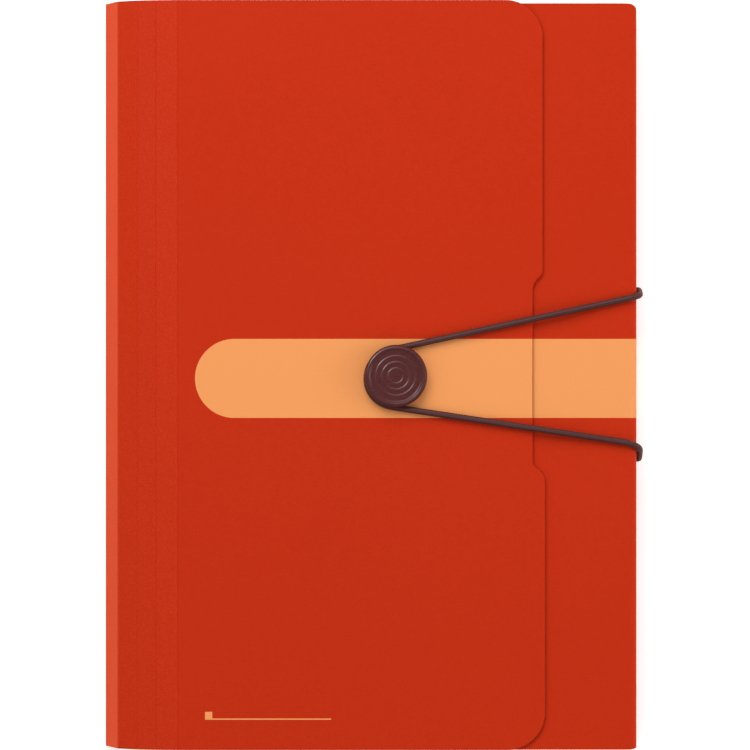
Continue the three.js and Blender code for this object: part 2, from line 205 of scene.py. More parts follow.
def grid_faces(rows: int, columns: int, start: int = 0, reverse: bool = False) -> list[tuple[int, ...]]:
    """Lists the quads of a grid of points.

    Args:
        rows: Points along the first direction.
        columns: Points along the second.
        start: Index of the first point.
        reverse: True to face the other way.

    Returns:
        One tuple of four indices for each quad.
    """
    index = np.arange(rows * columns).reshape(rows, columns) + start
    corners = (index[:-1, :-1], index[1:, :-1], index[1:, 1:], index[:-1, 1:])
    quads = np.stack([c.ravel() for c in (corners[::-1] if reverse else corners)], axis=1)
    return [tuple(q) for q in quads.tolist()]


def sheet_object(
    name: str,
    outer: np.ndarray,
    thickness: float | np.ndarray,
    finishes: Sequence[bpy.types.Material],
    round_over: float = 0.1,
) -> bpy.types.Object:
    """Makes a sheet with a face, a back and a softly rounded cut edge from its outer face.

    Args:
        name: The piece's name.
        outer: Grid of points of the outer face in mm, shaped rows by columns by three.
        thickness: The sheet's thickness in mm, one number or one for each row.
        finishes: Materials of the face, the back and the cut edge.
        round_over: How far the cut edge bulges in mm.

    Returns:
        The new object.
    """
    rows, columns, _ = outer.shape
    normals = np.cross(np.gradient(outer, axis=0), np.gradient(outer, axis=1))
    normals /= np.linalg.norm(normals, axis=2, keepdims=True)
    depth = np.broadcast_to(np.reshape(thickness, (-1, 1, 1)), (rows, columns, 1))
    inner = outer - normals * depth
    index = np.arange(rows * columns).reshape(rows, columns)
    rim = np.concatenate([index[:, 0], index[-1, 1:], index[-2::-1, -1], index[0, -2:0:-1]])
    flat, flat_normals = outer.reshape(-1, 3), normals.reshape(-1, 3)
    edge, edge_normals = flat[rim], flat_normals[rim]
    along = np.roll(edge, -1, axis=0) - np.roll(edge, 1, axis=0)
    outward = np.cross(along, edge_normals)
    outward /= np.linalg.norm(outward, axis=1, keepdims=True)
    edge_depth = depth.reshape(-1, 1)[rim]
    bulge = edge + outward * round_over
    upper_ring = bulge - edge_normals * edge_depth * CUT_ROUND
    lower_ring = bulge - edge_normals * edge_depth * (1 - CUT_ROUND)
    points = np.concatenate([flat, inner.reshape(-1, 3), upper_ring, lower_ring])
    count = rows * columns
    rings = [rim, np.arange(len(rim)) + 2 * count, np.arange(len(rim)) + 2 * count + len(rim), rim + count]
    faces = grid_faces(rows, columns)
    faces += grid_faces(rows, columns, count, reverse=True)
    kinds = [0] * (len(faces) // 2) + [1] * (len(faces) // 2)
    for upper, lower in zip(rings, rings[1:]):
        quads = np.stack([upper, lower, np.roll(lower, -1), np.roll(upper, -1)], axis=1)
        faces += [tuple(q) for q in quads.tolist()]
        kinds += [2] * len(quads)
    return mesh_object(name, points, faces, finishes, kinds)


def lathe_object(
    name: str,
    profile: Sequence[tuple[float, float]],
    centre: tuple[float, float],
    finish: bpy.types.Material,
    segments: int = 144,
) -> bpy.types.Object:
    """Turns a half section, given from its foot on the axis to its top on the axis, round an upright axis.

    Args:
        name: The piece's name.
        profile: Radius and height of each point in mm.
        centre: The axis in plan, in mm.
        finish: Its material.
        segments: Steps round the axis.

    Returns:
        The new object.
    """
    turns = np.arange(segments) * 2 * math.pi / segments
    ring = np.stack([np.cos(turns), np.sin(turns)], axis=1)
    middle = profile[1:-1]
    points = [[centre[0], centre[1], profile[0][1]], [centre[0], centre[1], profile[-1][1]]]
    for radius, height in middle:
        points += [[centre[0] + radius * c, centre[1] + radius * s, height] for c, s in ring]
    faces: list[tuple[int, ...]] = []
    last = 2 + (len(middle) - 1) * segments
    for k in range(segments):
        after = (k + 1) % segments
        faces.append((0, 2 + after, 2 + k))
        faces.append((1, last + k, last + after))
        for row in range(len(middle) - 1):
            base = 2 + row * segments
            faces.append((base + k, base + after, base + segments + after, base + segments + k))
    return mesh_object(name, np.array(points), faces, [finish])


def drill(piece: bpy.types.Object, cutters: Sequence[bpy.types.Object]) -> None:
    """Cuts holes in a piece and removes the cutters.

    Args:
        piece: The piece to cut.
        cutters: Closed objects in the shape of the holes.
    """
    for cutter in cutters:
        modifier = piece.modifiers.new("hole", "BOOLEAN")
        modifier.operation = "DIFFERENCE"
        modifier.solver = "EXACT"
        modifier.object = cutter
    bpy.context.view_layer.update()
    cut = bpy.data.meshes.new_from_object(piece.evaluated_get(bpy.context.evaluated_depsgraph_get()))
    old = piece.data
    piece.modifiers.clear()
    piece.data = cut
    bpy.data.meshes.remove(old)
    cut.name = piece.name
    store_rest(cut)
    for cutter in cutters:
        bpy.data.objects.remove(cutter)


def rod(name: str, start: Sequence[float], end: Sequence[float], radius: float) -> bpy.types.Object:
    """Makes a plain round rod that serves only as a drill.

    Args:
        name: The rod's name.
        start: Middle of one end in mm.
        end: Middle of the other end in mm.
        radius: Its radius in mm.

    Returns:
        The new object.
    """
    axis = (Vector(end) - Vector(start)).normalized()
    across = axis.orthogonal().normalized()
    upward = axis.cross(across)
    sides = 32
    points = []
    for base in (Vector(start), Vector(end)):
        for k in range(sides):
            turn = 2 * math.pi * k / sides
            points.append(list(base + across * radius * math.cos(turn) + upward * radius * math.sin(turn)))
    faces: list[tuple[int, ...]] = [tuple(range(sides))[::-1], tuple(range(sides, 2 * sides))]
    for k in range(sides):
        after = (k + 1) % sides
        faces.append((k, after, sides + after, sides + k))
    return mesh_object(name, np.array(points), faces, [])


# Materials


def add(
    tree: bpy.types.NodeTree,
    kind: str,
    inputs: dict[Any, Any] | None = None,
    **settings: Any,
) -> bpy.types.Node:
    """Adds one shader node with its settings and links.

    Args:
        tree: The node tree.
        kind: The node's type.
        inputs: For each input, by name or number, a value or the socket that feeds it.
        **settings: Properties of the node.

    Returns:
        The new node.
    """
    made = tree.nodes.new(kind)
    for name, value in settings.items():
        setattr(made, name, value)
    for name, value in (inputs or {}).items():
        if isinstance(value, bpy.types.NodeSocket):
            tree.links.new(value, made.inputs[name])
        else:
            made.inputs[name].default_value = value
    return made


def maths(tree: bpy.types.NodeTree, operation: str, *values: Any) -> bpy.types.NodeSocket:
    """Adds one sum on numbers or sockets and gives its result.

    Args:
        tree: The node tree.
        operation: The sum's name.
        *values: Its operands.

    Returns:
        The socket that holds the result.
    """
    return add(tree, "ShaderNodeMath", dict(enumerate(values)), operation=operation).outputs[0]


def start_material(name: str) -> tuple[bpy.types.Material, bpy.types.NodeTree]:
    """Starts an empty material.

    Args:
        name: The material's name.

    Returns:
        The material and its node tree.
    """
    material = bpy.data.materials.new(name)
    material.use_nodes = True
    material.node_tree.nodes.clear()
    return material, material.node_tree


def surface(tree: bpy.types.NodeTree, inputs: dict[str, Any]) -> None:
    """Ends a material with its shader and output.

    Args:
        tree: The node tree.
        inputs: The shader's inputs, each a value or the socket that feeds it.
    """
    shader = add(tree, "ShaderNodeBsdfPrincipled", inputs)
    add(tree, "ShaderNodeOutputMaterial", {"Surface": shader.outputs["BSDF"]})


def noise(
    tree: bpy.types.NodeTree, size_mm: float, detail: float = 2.0, rigid: bool = False
) -> bpy.types.NodeSocket:
    """Adds cloudy noise fixed to the piece, also where the piece bends.

    Args:
        tree: The node tree.
        size_mm: Width of one cloud in mm.
        detail: How much finer noise lies on it.
        rigid: True for a piece that doesn't bend, whose own coordinates in metres serve.

    Returns:
        The socket with values from zero to one.
    """
    if rigid:
        places, scale = add(tree, "ShaderNodeTexCoord").outputs["Object"], 1 / (size_mm * MM)
    else:
        places, scale = add(tree, "ShaderNodeAttribute", attribute_name=REST).outputs["Vector"], 1 / size_mm
    inputs = {"Vector": places, "Scale": scale, "Detail": detail, "Roughness": 0.55}
    return add(tree, "ShaderNodeTexNoise", inputs).outputs[0]


def rest_axes(tree: bpy.types.NodeTree) -> list[bpy.types.NodeSocket]:
    """Gives a sheet's places at rest, in mm along each axis."""
    places = add(tree, "ShaderNodeAttribute", attribute_name=REST).outputs["Vector"]
    return list(add(tree, "ShaderNodeSeparateXYZ", {0: places}).outputs)


def between(
    tree: bpy.types.NodeTree, share: bpy.types.NodeSocket, low: Any, high: Any
) -> bpy.types.NodeSocket:
    """Mixes two colours by a share.

    Args:
        tree: The node tree.
        share: Zero for the first colour, one for the second.
        low: The first colour, or the socket that holds it.
        high: The second colour, or the socket that holds it.

    Returns:
        The mixed colour.
    """
    mixed = add(tree, "ShaderNodeMix", {0: share, 6: low, 7: high}, data_type="RGBA")
    return mixed.outputs[2]


def remap(
    tree: bpy.types.NodeTree,
    value: bpy.types.NodeSocket,
    low: float,
    high: float,
    to_low: float,
    to_high: float,
) -> bpy.types.NodeSocket:
    """Maps a value smoothly from one range to another.

    Args:
        tree: The node tree.
        value: The value to map.
        low: Start of its range.
        high: End of its range.
        to_low: Result at the start.
        to_high: Result at the end.

    Returns:
        The mapped value.
    """
    inputs = {"Value": value, "From Min": low, "From Max": high, "To Min": to_low, "To Max": to_high}
    return add(tree, "ShaderNodeMapRange", inputs, interpolation_type="SMOOTHSTEP").outputs[0]


def mottled(
    tree: bpy.types.NodeTree, clouds: bpy.types.NodeSocket, dark: str, light: str
) -> bpy.types.NodeSocket:
    """Mixes two near shades of one dye by noise.

    Args:
        tree: The node tree.
        clouds: The noise.
        dark: Hex colour where it is low.
        light: Hex colour where it is high.

    Returns:
        The mixed colour.
    """
    return between(tree, remap(tree, clouds, 0.3, 0.7, 0.0, 1.0), linear(dark), linear(light))


def uneven(
    tree: bpy.types.NodeTree, clouds: bpy.types.NodeSocket, middle: float, spread: tuple[float, float]
) -> bpy.types.NodeSocket:
    """Varies a roughness by noise.

    Args:
        tree: The node tree.
        clouds: The noise.
        middle: The roughness to vary.
        spread: How far it goes below and above that.

    Returns:
        The roughness.
    """
    return remap(tree, clouds, 0.2, 0.8, middle - spread[0], middle + spread[1])


class Side(Enum):
    """Which side of the case's sheet a finish is for."""

    FACE = "face"
    BACK = "back"
    CUT = "cut_edge"


class Print(Enum):
    """Which printed fields a face carries."""

    NONE = "none"
    FLAP = "flap"
    FRONT = "front"


@dataclass(frozen=True)
class Bar:
    """An upright printed rectangle, in mm in the object's frame."""

    middle_x: float
    middle_y: float
    half_width: float
    half_height: float

    def outside(
        self, tree: bpy.types.NodeTree, x: bpy.types.NodeSocket, y: bpy.types.NodeSocket
    ) -> bpy.types.NodeSocket:
        """Gives the distance in mm outside the rectangle.

        Args:
            tree: The node tree.
            x: Place across the sheet.
            y: Place along the sheet.

        Returns:
            The distance, below zero inside.
        """
        off_x = maths(tree, "ABSOLUTE", maths(tree, "SUBTRACT", x, self.middle_x))
        off_y = maths(tree, "ABSOLUTE", maths(tree, "SUBTRACT", y, self.middle_y))
        past_x = maths(tree, "SUBTRACT", off_x, self.half_width)
        return maths(tree, "MAXIMUM", past_x, maths(tree, "SUBTRACT", off_y, self.half_height))


@dataclass(frozen=True)
class PrintLayout:
    """Places of the flat printed fields, in mm in the object's frame."""

    band_middle_y: float = -1.5
    band_half_height: float = 17.4
    band_round_x: float = -60.9
    front_start_x: float = 58.0
    front_end_z: float = 3.0
    rule_left_x: float = -73.9
    rule_right_x: float = -18.4
    rule_y: float = -151.5
    rule_half_height: float = 0.28
    square_half: float = 1.6
    edge_softness: float = 0.09

    def bars(self) -> tuple[Bar, Bar]:
        """Gives the thin rule and the small square at its left end.

        Returns:
            Both rectangles.
        """
        middle = (self.rule_left_x + self.rule_right_x) / 2
        half = (self.rule_right_x - self.rule_left_x) / 2
        size = self.square_half
        rule = Bar(middle, self.rule_y, half, self.rule_half_height)
        return rule, Bar(self.rule_left_x + size, self.rule_y + size, size, size)


@dataclass(frozen=True)
class EmbossedPolypropylene:
    """Extruded polypropylene sheet with a fine sand emboss.

    It is dyed right through, so it looks even and slightly waxy; the emboss scatters almost all the light,
    so it mirrors next to nothing, and it glows orange with a fine speckle wherever the light grazes it.
    On the flap's rolled facets, lighter grains are painted in as a highlight for that grazing light.
    """

    colour: str = "BD2F13"
    deep_colour: str = "B82D12"
    # Painted shade: the cut edge is coloured darker than the sheet, so that it reads as the dark line of
    # shade along the flap's free edge.
    cut_painted_shade_colour: str = "9A2A12"
    cut_deep_painted_shade_colour: str = "7E1F0C"
    ink: str = "E8975A"
    graze: str = "FF6618"
    graze_weight: float = 1.0
    graze_roughness: float = 0.35
    specular_level: float = 0.02
    roughness: float = 0.46
    roughness_spread: tuple[float, float] = (0.05, 0.07)
    ior: float = 1.49
    # Real grit is about 0.3 mm and would not show, so it is drawn at 0.9 mm with coarser clouds over it.
    grit_mm: float = 0.9
    cloud_mm: float = 3.2
    drift_mm: float = 70.0
    grit_share: float = 0.55
    cloud_share: float = 0.3
    drift_share: float = 0.15
    emboss_mm: float = 0.065
    cloud_relief: float = 0.5
    back_strength: float = 0.45
    # Painted highlight: single grains on the flap's rolled facets are painted lighter, standing in for the
    # grazing light they catch there.
    painted_glint_colour: str = "F04A1C"
    painted_glint_share: float = 0.2
    painted_glint_mm: float = 0.55
    painted_glint_range: tuple[float, float] = (0.42, 0.66)
    facets_end_x: float = -86.1
    facets_softness: float = 0.3

    def printed_share(self, tree: bpy.types.NodeTree, where: Print) -> bpy.types.NodeSocket:
        """Works out where ink covers the sheet.

        Args:
            tree: The node tree.
            where: Which print the face carries.

        Returns:
            One on ink and zero off it.
        """
        layout = PrintLayout()
        x, y, z = rest_axes(tree)
        across = maths(tree, "SUBTRACT", y, layout.band_middle_y)
        if where is Print.FLAP:
            short = maths(tree, "MAXIMUM", maths(tree, "SUBTRACT", layout.band_round_x, x), 0.0)
            squares = maths(tree, "MULTIPLY_ADD", short, short, maths(tree, "MULTIPLY", across, across))
            off = maths(tree, "SUBTRACT", maths(tree, "SQRT", squares), layout.band_half_height)
            for bar in layout.bars():
                off = maths(tree, "MINIMUM", off, bar.outside(tree, x, y))
        else:
            tall = maths(tree, "SUBTRACT", maths(tree, "ABSOLUTE", across), layout.band_half_height)
            left = maths(tree, "SUBTRACT", layout.front_start_x, x)
            low = maths(tree, "SUBTRACT", layout.front_end_z, z)
            off = maths(tree, "MAXIMUM", tall, maths(tree, "MAXIMUM", left, low))
        return remap(tree, off, -layout.edge_softness, layout.edge_softness, 1.0, 0.0)

    def paint_grain_glints(
        self, tree: bpy.types.NodeTree, colour: bpy.types.NodeSocket
    ) -> bpy.types.NodeSocket:
        """Paints lighter glints on single grains of the rolled facets, as a painted highlight for grazing
        light.

        Args:
            tree: The node tree.
            colour: The sheet's colour.

        Returns:
            The colour with the painted glints.
        """
        x = rest_axes(tree)[0]
        end, soft = self.facets_end_x, self.facets_softness
        grains = remap(tree, noise(tree, self.painted_glint_mm), *self.painted_glint_range, 0.0, self.painted_glint_share)
        facets = remap(tree, x, end - soft, end + soft, 1.0, 0.0)
        return between(tree, maths(tree, "MULTIPLY", grains, facets), colour, linear(self.painted_glint_colour))

    def build(self, side: Side, where: Print = Print.NONE) -> bpy.types.Material:
        """Makes the material for one side of the sheet.

        Args:
            side: The side of the sheet.
            where: The print that it carries.

        Returns:
            The material.
        """
        material, tree = start_material(f"embossed_polypropylene_{side.value}_{where.value}")
        grit = noise(tree, self.grit_mm, 3.0)
        clouds = noise(tree, self.cloud_mm)
        speckle = maths(tree, "MULTIPLY", grit, self.grit_share)
        speckle = maths(tree, "MULTIPLY_ADD", clouds, self.cloud_share, speckle)
        speckle = maths(tree, "MULTIPLY_ADD", noise(tree, self.drift_mm, 1.0), self.drift_share, speckle)
        cut = side is Side.CUT
        # The cut edge takes the darker colours, which are painted shade.
        dark, light = (self.cut_deep_painted_shade_colour, self.cut_painted_shade_colour) if cut else (self.deep_colour, self.colour)
        colour = mottled(tree, speckle, dark, light)
        if where is Print.FLAP:
            # Painted highlight: lighter grains on the rolled facets stand in for grazing light.
            colour = self.paint_grain_glints(tree, colour)
        if where is not Print.NONE:
            colour = between(tree, self.printed_share(tree, where), colour, linear(self.ink))
        relief = add(tree, "ShaderNodeBump", {
            "Height": maths(tree, "MULTIPLY_ADD", clouds, self.cloud_relief, grit),
            "Strength": 1.0 if side is Side.FACE else self.back_strength,
            "Distance": self.emboss_mm * MM,
        })
        surface(tree, {
            "Base Color": colour,
            "Roughness": uneven(tree, grit, self.roughness, self.roughness_spread),
            "IOR": self.ior,
            "Specular IOR Level": self.specular_level,
            "Sheen Weight": self.graze_weight,
            "Sheen Roughness": self.graze_roughness,
            "Sheen Tint": linear(self.graze),
            "Normal": relief.outputs["Normal"],
        })
        return material


@dataclass(frozen=True)
class PocketFilm:
    """Cast polypropylene film, thinner and a little clearer than the case.

    Stacked sheets of it glow more orange at their edges, and it shines a little more than the case.
    """

    colour: str = "CC3F18"
    light_colour: str = "D84E22"
    field_colour: str = "F3E9DC"
    edge_colour: str = "E8683A"
    roughness: float = 0.34
    roughness_spread: tuple[float, float] = (0.05, 0.08)
    edge_roughness: float = 0.5
    ior: float = 1.49
    streak_mm: float = 5.0
    streak_height_mm: float = 0.02
    streak_strength: float = 0.5
    edge_mm: float = 1.2
    field_softness: float = 0.1

    def build(self, name: str, field: Bar | None = None) -> bpy.types.Material:
        """Makes the film, with a blank write-on field where one is wanted.

        Args:
            name: The material's name.
            field: The field's place.

        Returns:
            The material.
        """
        material, tree = start_material(name)
        streaks = noise(tree, self.streak_mm, 3.0)
        colour = mottled(tree, streaks, self.colour, self.light_colour)
        if field is not None:
            x, y, _ = rest_axes(tree)
            soft = self.field_softness
            blank = remap(tree, field.outside(tree, x, y), -soft, soft, 1.0, 0.0)
            colour = between(tree, blank, colour, linear(self.field_colour))
        relief = add(tree, "ShaderNodeBump", {
            "Height": streaks, "Strength": self.streak_strength, "Distance": self.streak_height_mm * MM,
        })
        surface(tree, {
            "Base Color": colour,
            "Roughness": uneven(tree, streaks, self.roughness, self.roughness_spread),
            "IOR": self.ior,
            "Normal": relief.outputs["Normal"],
        })
        return material

    def build_edge(self) -> bpy.types.Material:
        """Makes the film's cut edge, which gathers light and looks paler.

        Returns:
            The material.
        """
        material, tree = start_material("pocket_film_cut_edge")
        clouds = noise(tree, self.edge_mm)
        colour = between(tree, clouds, linear(self.edge_colour), linear(self.light_colour))
        surface(tree, {"Base Color": colour, "Roughness": self.edge_roughness})
        return material


@dataclass(frozen=True)
class MouldedPolypropylene:
    """Injection-moulded polypropylene with a satin tool finish.

    The dye is dark, so the faint orange-peel of the tool and the raised rings show only in the highlights.
    """

    name: str
    colour: str
    deep_colour: str
    roughness: float = 0.3
    roughness_spread: tuple[float, float] = (0.04, 0.06)
    ior: float = 1.49
    specular_level: float = 0.22
    peel_mm: float = 1.1
    peel_height_mm: float = 0.02
    peel_strength: float = 0.8

    def build(self) -> bpy.types.Material:
        """Makes the material of the moulding.

        Returns:
            The material.
        """
        material, tree = start_material(self.name)
        peel = noise(tree, self.peel_mm, 3.0, rigid=True)
        relief = add(tree, "ShaderNodeBump", {
            "Height": peel, "Strength": self.peel_strength, "Distance": self.peel_height_mm * MM,
        })
        surface(tree, {
            "Base Color": mottled(tree, peel, self.deep_colour, self.colour),
            "Roughness": uneven(tree, peel, self.roughness, self.roughness_spread),
            "IOR": self.ior,
            "Specular IOR Level": self.specular_level,
            "Normal": relief.outputs["Normal"],
        })
        return material


@dataclass(frozen=True)
class BraidedElastic:
    """Rubber core in a braided polyester sleeve.

    The crowns of the braid catch a dull light, and the gaps between them are painted almost black as shade.
    """

    crown_colour: str = "5E2E2B"
    gap_painted_shade_colour: str = "150606"
    fuzz_colour: str = "C88A80"
    fuzz_weight: float = 0.1
    fuzz_roughness: float = 0.5
    specular_level: float = 0.25
    roughness: float = 0.62
    roughness_spread: tuple[float, float] = (0.08, 0.1)
    # A real filament is about 0.02 mm, so bundles of them are drawn at 0.45 mm.
    fibre_mm: float = 0.45
    fibre_height_mm: float = 0.05
    fibre_strength: float = 0.6
    braid_share: float = 0.75
    fibre_share: float = 0.3

    def build(self) -> bpy.types.Material:
        """Makes the material, which reads the braid's height from the mesh.

        Returns:
            The material.
        """
        material, tree = start_material("braided_polyester_elastic")
        braid = add(tree, "ShaderNodeAttribute", attribute_name=BRAID).outputs["Fac"]
        fibres = noise(tree, self.fibre_mm, 3.0)
        lift = maths(tree, "MULTIPLY", fibres, self.fibre_share)
        lift = remap(tree, maths(tree, "MULTIPLY_ADD", braid, self.braid_share, lift), 0.1, 0.9, 0.0, 1.0)
        relief = add(tree, "ShaderNodeBump", {
            "Height": fibres, "Strength": self.fibre_strength, "Distance": self.fibre_height_mm * MM,
        })
        # Painted shade: the colour falls to almost black in the braid's gaps.
        surface(tree, {
            "Base Color": between(tree, lift, linear(self.gap_painted_shade_colour), linear(self.crown_colour)),
            "Roughness": uneven(tree, fibres, self.roughness, self.roughness_spread),
            "Specular IOR Level": self.specular_level,
            "Sheen Weight": self.fuzz_weight,
            "Sheen Roughness": self.fuzz_roughness,
            "Sheen Tint": linear(self.fuzz_colour),
            "Normal": relief.outputs["Normal"],
        })
        return material


# Sub-assemblies


@dataclass
class Case:
    """Back panel, closed strip and front panel, folded from one sheet."""

    thickness: float = 0.8
    fold_radius: float = 3.0
    corner_radius: float = 4.0
    lower_corner_share: float = 0.25
    front_top_inset: float = 1.3
    hole_radius: float = 1.9
    hole_z: float = 14.0
    hole_y: tuple[float, float] = (37.5, -37.0)
    mouth_x: float = -87.45
    # Widest mesh steps in mm on the front panel, the strip and the back panel.
    steps: tuple[float, float, float] = (3.0, 1.6, 5.0)
    columns: int = 100
    unevenness: float = 0.1
    wave_seed: float = 0.6
    # The front panel's unevenness fades out over these distances in mm from the fold and the mouth, and
    # over this share of the fold.
    calm_fold: tuple[float, float] = (6.0, 30.0)
    calm_mouth: float = 20.0
    calm_share: float = 0.25

    def profile(self, low: Vector, high: Vector) -> tuple[np.ndarray, np.ndarray]:
        """Follows the sheet from the front panel's mouth edge over both folds to the back panel's edge.

        Args:
            low: Lowest corner of the case.
            high: Highest corner of the case.

        Returns:
            Places in x and z, and for each how far it has come down from the front panel.
        """
        radius = self.fold_radius
        fold_x, top_z, bottom_z = high.x - radius, high.z - radius, low.z + radius
        front_step, strip_step, back_step = self.steps
        turn = np.linspace(math.pi / 2, 0, 13)
        front = [(x, high.z) for x in spaced(self.mouth_x, fold_x, front_step)]
        upper = [(fold_x + radius * math.cos(a), top_z + radius * math.sin(a)) for a in turn[1:]]
        strip = [(high.x, z) for z in spaced(top_z, bottom_z, strip_step)[1:]]
        lower = [(fold_x + radius * math.cos(a), bottom_z - radius * math.sin(a)) for a in turn[::-1][1:]]
        back = [(x, low.z) for x in spaced(fold_x, low.x, back_step)[1:]]
        places = np.array(front + upper + strip + lower + back)
        down = np.clip((high.z - places[:, 1]) / radius, 0, 1)
        return places, down

    def build(self, finish: EmbossedPolypropylene) -> bpy.types.Object:
        """Builds the case sheet with its cord holes.

        Args:
            finish: The sheet's finish.

        Returns:
            The piece, riding on the file's body.
        """
        low, high = box_mm("case_wrap")
        places, down = self.profile(low, high)
        past = np.clip(places[:, 0] - (high.x - self.corner_radius), 0, self.corner_radius)
        inset = self.corner_radius - np.sqrt(self.corner_radius**2 - past**2)
        top = high.y - self.front_top_inset * (1 - down) - inset
        bottom = low.y + inset * self.lower_corner_share
        share = np.linspace(0, 1, self.columns)
        y = bottom[:, None] + (top - bottom)[:, None] * share[None, :]
        x = np.broadcast_to(places[:, :1], y.shape)
        z = np.broadcast_to(places[:, 1:], y.shape).copy()
        on_front = (1 - np.clip(down / self.calm_share, 0, 1))[:, None] * smooth(high.x - x, *self.calm_fold)
        on_front = on_front * smooth(x - self.mouth_x, 0, self.calm_mouth)
        z += self.unevenness * ripple(x, y, self.wave_seed) * on_front
        faces = [finish.build(Side.FACE, Print.FRONT), finish.build(Side.BACK), finish.build(Side.CUT)]
        piece = sheet_object("case_sheet", np.stack([x, y, z], axis=2), self.thickness, faces)
        reach = 3 * self.thickness
        drill(piece, [
            rod(f"drill_{k}", (high.x - reach, hole, self.hole_z), (high.x + reach, hole, self.hole_z),
                self.hole_radius)
            for k, hole in enumerate(self.hole_y)
        ])
        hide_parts("case_wrap")
        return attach(piece, FILE_BODY)


@dataclass
class Flap:
    """The flap: a thinned hinge, four facets rolled over the mouth, and a panel with a waisted edge."""

    thickness: float = 0.8
    hinge_thickness: float = 0.35
    hinge_radius: float = 0.4
    creases: tuple[tuple[float, float], ...] = ((6.4, 11.0), (15.1, 5.0), (23.4, 2.0), (33.1, 0.0))
    groove_half_width: float = 0.55
    groove_depth: float = 0.25
    # How far the rows that shape a groove reach, in half widths.
    groove_reach: float = 1.6
    groove_rows: int = 15
    groove_sharpness: float = 1.5
    facet_step: float = 2.0
    stub_step: float = 0.4
    # The sheet comes back to its thickness at this height, in hinge radii.
    hinge_ease: float = 3.0
    edge_upper: float = 74.7
    edge_waist: float = 70.3
    edge_lower: float = 75.8
    corner_radius: float = 16.5
    waist_top: float = 37.0
    waist_bottom: float = -38.6
    step_height: float = 8.6
    # Each step in the edge is a cubic curve, and these handles bend it tighter at its upper end.
    step_handles: tuple[float, float] = (0.3, 0.4)
    row_step: float = 4.0
    fine_step: float = 0.5
    # The panel has more rows beyond this share of its width.
    edge_share: float = 0.94
    panel_rows: tuple[int, int] = (44, 9)
    round_over: float = 0.2
    # The panel sinks this much onto the case's front from here to its free edge.
    settle: float = 0.45
    settle_from_x: float = 24.0
    unevenness: float = 0.08
    wave_seed: float = 2.1
    wave_sink: float = 0.6
    calm_crease: tuple[float, float] = (2.0, 30.0)
    calm_button: tuple[float, float] = (14.0, 40.0)
    blend_low: float = 0.9
    blend_high: float = 2.6

    def edge(self, y: np.ndarray, half_height: float) -> np.ndarray:
        """Gives the free edge's place for each place along it.

        Args:
            y: Places along the flap in mm.
            half_height: Half the flap's height.

        Returns:
            The edge's x in mm.
        """
        step = np.linspace(0, 1, 40)
        first, second = self.step_handles
        fall = 3 * first * step * (1 - step) ** 2 + 3 * second * step**2 * (1 - step) + step**3
        turn = 3 * step**2 - 2 * step**3
        upper_y = self.waist_top + self.step_height * (1 - fall)
        lower_y = self.waist_bottom - self.step_height * fall
        known_y = np.concatenate([lower_y[::-1], upper_y[::-1]])
        known_x = np.concatenate([
            (self.edge_waist + (self.edge_lower - self.edge_waist) * turn)[::-1],
            (self.edge_upper + (self.edge_waist - self.edge_upper) * turn)[::-1],
        ])
        straight = np.interp(y, known_y, known_x)
        over = np.clip(np.abs(y) - (half_height - self.corner_radius), 0, self.corner_radius)
        return straight - (self.corner_radius - np.sqrt(np.maximum(self.corner_radius**2 - over**2, 0)))

    def rows(self, half_height: float) -> np.ndarray:
        """Places the rows along the flap, close together where its free edge turns.

        Args:
            half_height: Half the flap's height.

        Returns:
            The rows' y in mm, rising.
        """
        arc = half_height - self.corner_radius
        turn = np.sin(np.linspace(0, math.pi / 2, 22)) * self.corner_radius
        lower, upper = self.waist_bottom - self.step_height, self.waist_top + self.step_height
        parts = [
            -arc - turn[::-1],
            spaced(-arc, lower, self.row_step)[1:],
            spaced(lower, self.waist_bottom, self.fine_step)[1:],
            spaced(self.waist_bottom, self.waist_top, self.row_step)[1:],
            spaced(self.waist_top, upper, self.fine_step)[1:],
            spaced(upper, arc, self.row_step)[1:],
            arc + turn[1:],
        ]
        return np.concatenate(parts)

    def rolled(self, low: Vector, high: Vector, stub_x: float) -> tuple[np.ndarray, np.ndarray]:
        """Follows the outer face from the case over the hinge and the creases to the panel's start.

        Args:
            low: Lowest corner of the flap.
            high: Highest corner of the flap.
            stub_x: Where the sheet leaves the back panel.

        Returns:
            Places in x and z, and the sheet's thickness at each.
        """
        corners = [np.array([low.x, low.z])]
        corners += [np.array([low.x + across, high.z - drop]) for across, drop in self.creases]
        corners.append(np.array([self.edge_waist, high.z]))
        first = corners[1] - corners[0]
        rise = math.atan2(first[1], first[0])
        centre = np.array([low.x + self.hinge_radius / math.tan(rise / 2), low.z + self.hinge_radius])
        turns = np.linspace(-math.pi / 2, rise - 3 * math.pi / 2, 12)
        places = [np.array([x, low.z]) for x in spaced(stub_x, centre[0], self.stub_step)[:-1]]
        places += [centre + self.hinge_radius * np.array([math.cos(a), math.sin(a)]) for a in turns]
        hinge_rows = len(places)
        for before, here, after in zip(corners, corners[1:], corners[2:]):
            back = (before - here) / np.linalg.norm(before - here)
            ahead = (after - here) / np.linalg.norm(after - here)
            sink = np.array([(ahead - back)[1], -(ahead - back)[0]])
            sink /= np.linalg.norm(sink)
            start = places[-1]
            entry = here + back * self.groove_half_width * self.groove_reach
            for share in spaced(0, 1, self.facet_step / np.linalg.norm(entry - start))[1:]:
                places.append(start + (entry - start) * share)
            for step in np.linspace(-self.groove_reach, self.groove_reach, self.groove_rows)[1:]:
                side = back * -step if step < 0 else ahead * step
                soft = max(0.0, 1 - abs(step)) ** self.groove_sharpness
                places.append(here + side * self.groove_half_width + sink * self.groove_depth * soft)
        outline = np.array(places)
        radius = self.hinge_radius
        ease = smooth(outline[:, 1], low.z + radius, low.z + self.hinge_ease * radius)
        thickness = self.hinge_thickness + (self.thickness - self.hinge_thickness) * ease
        thickness[:hinge_rows] = self.hinge_thickness
        return outline, thickness

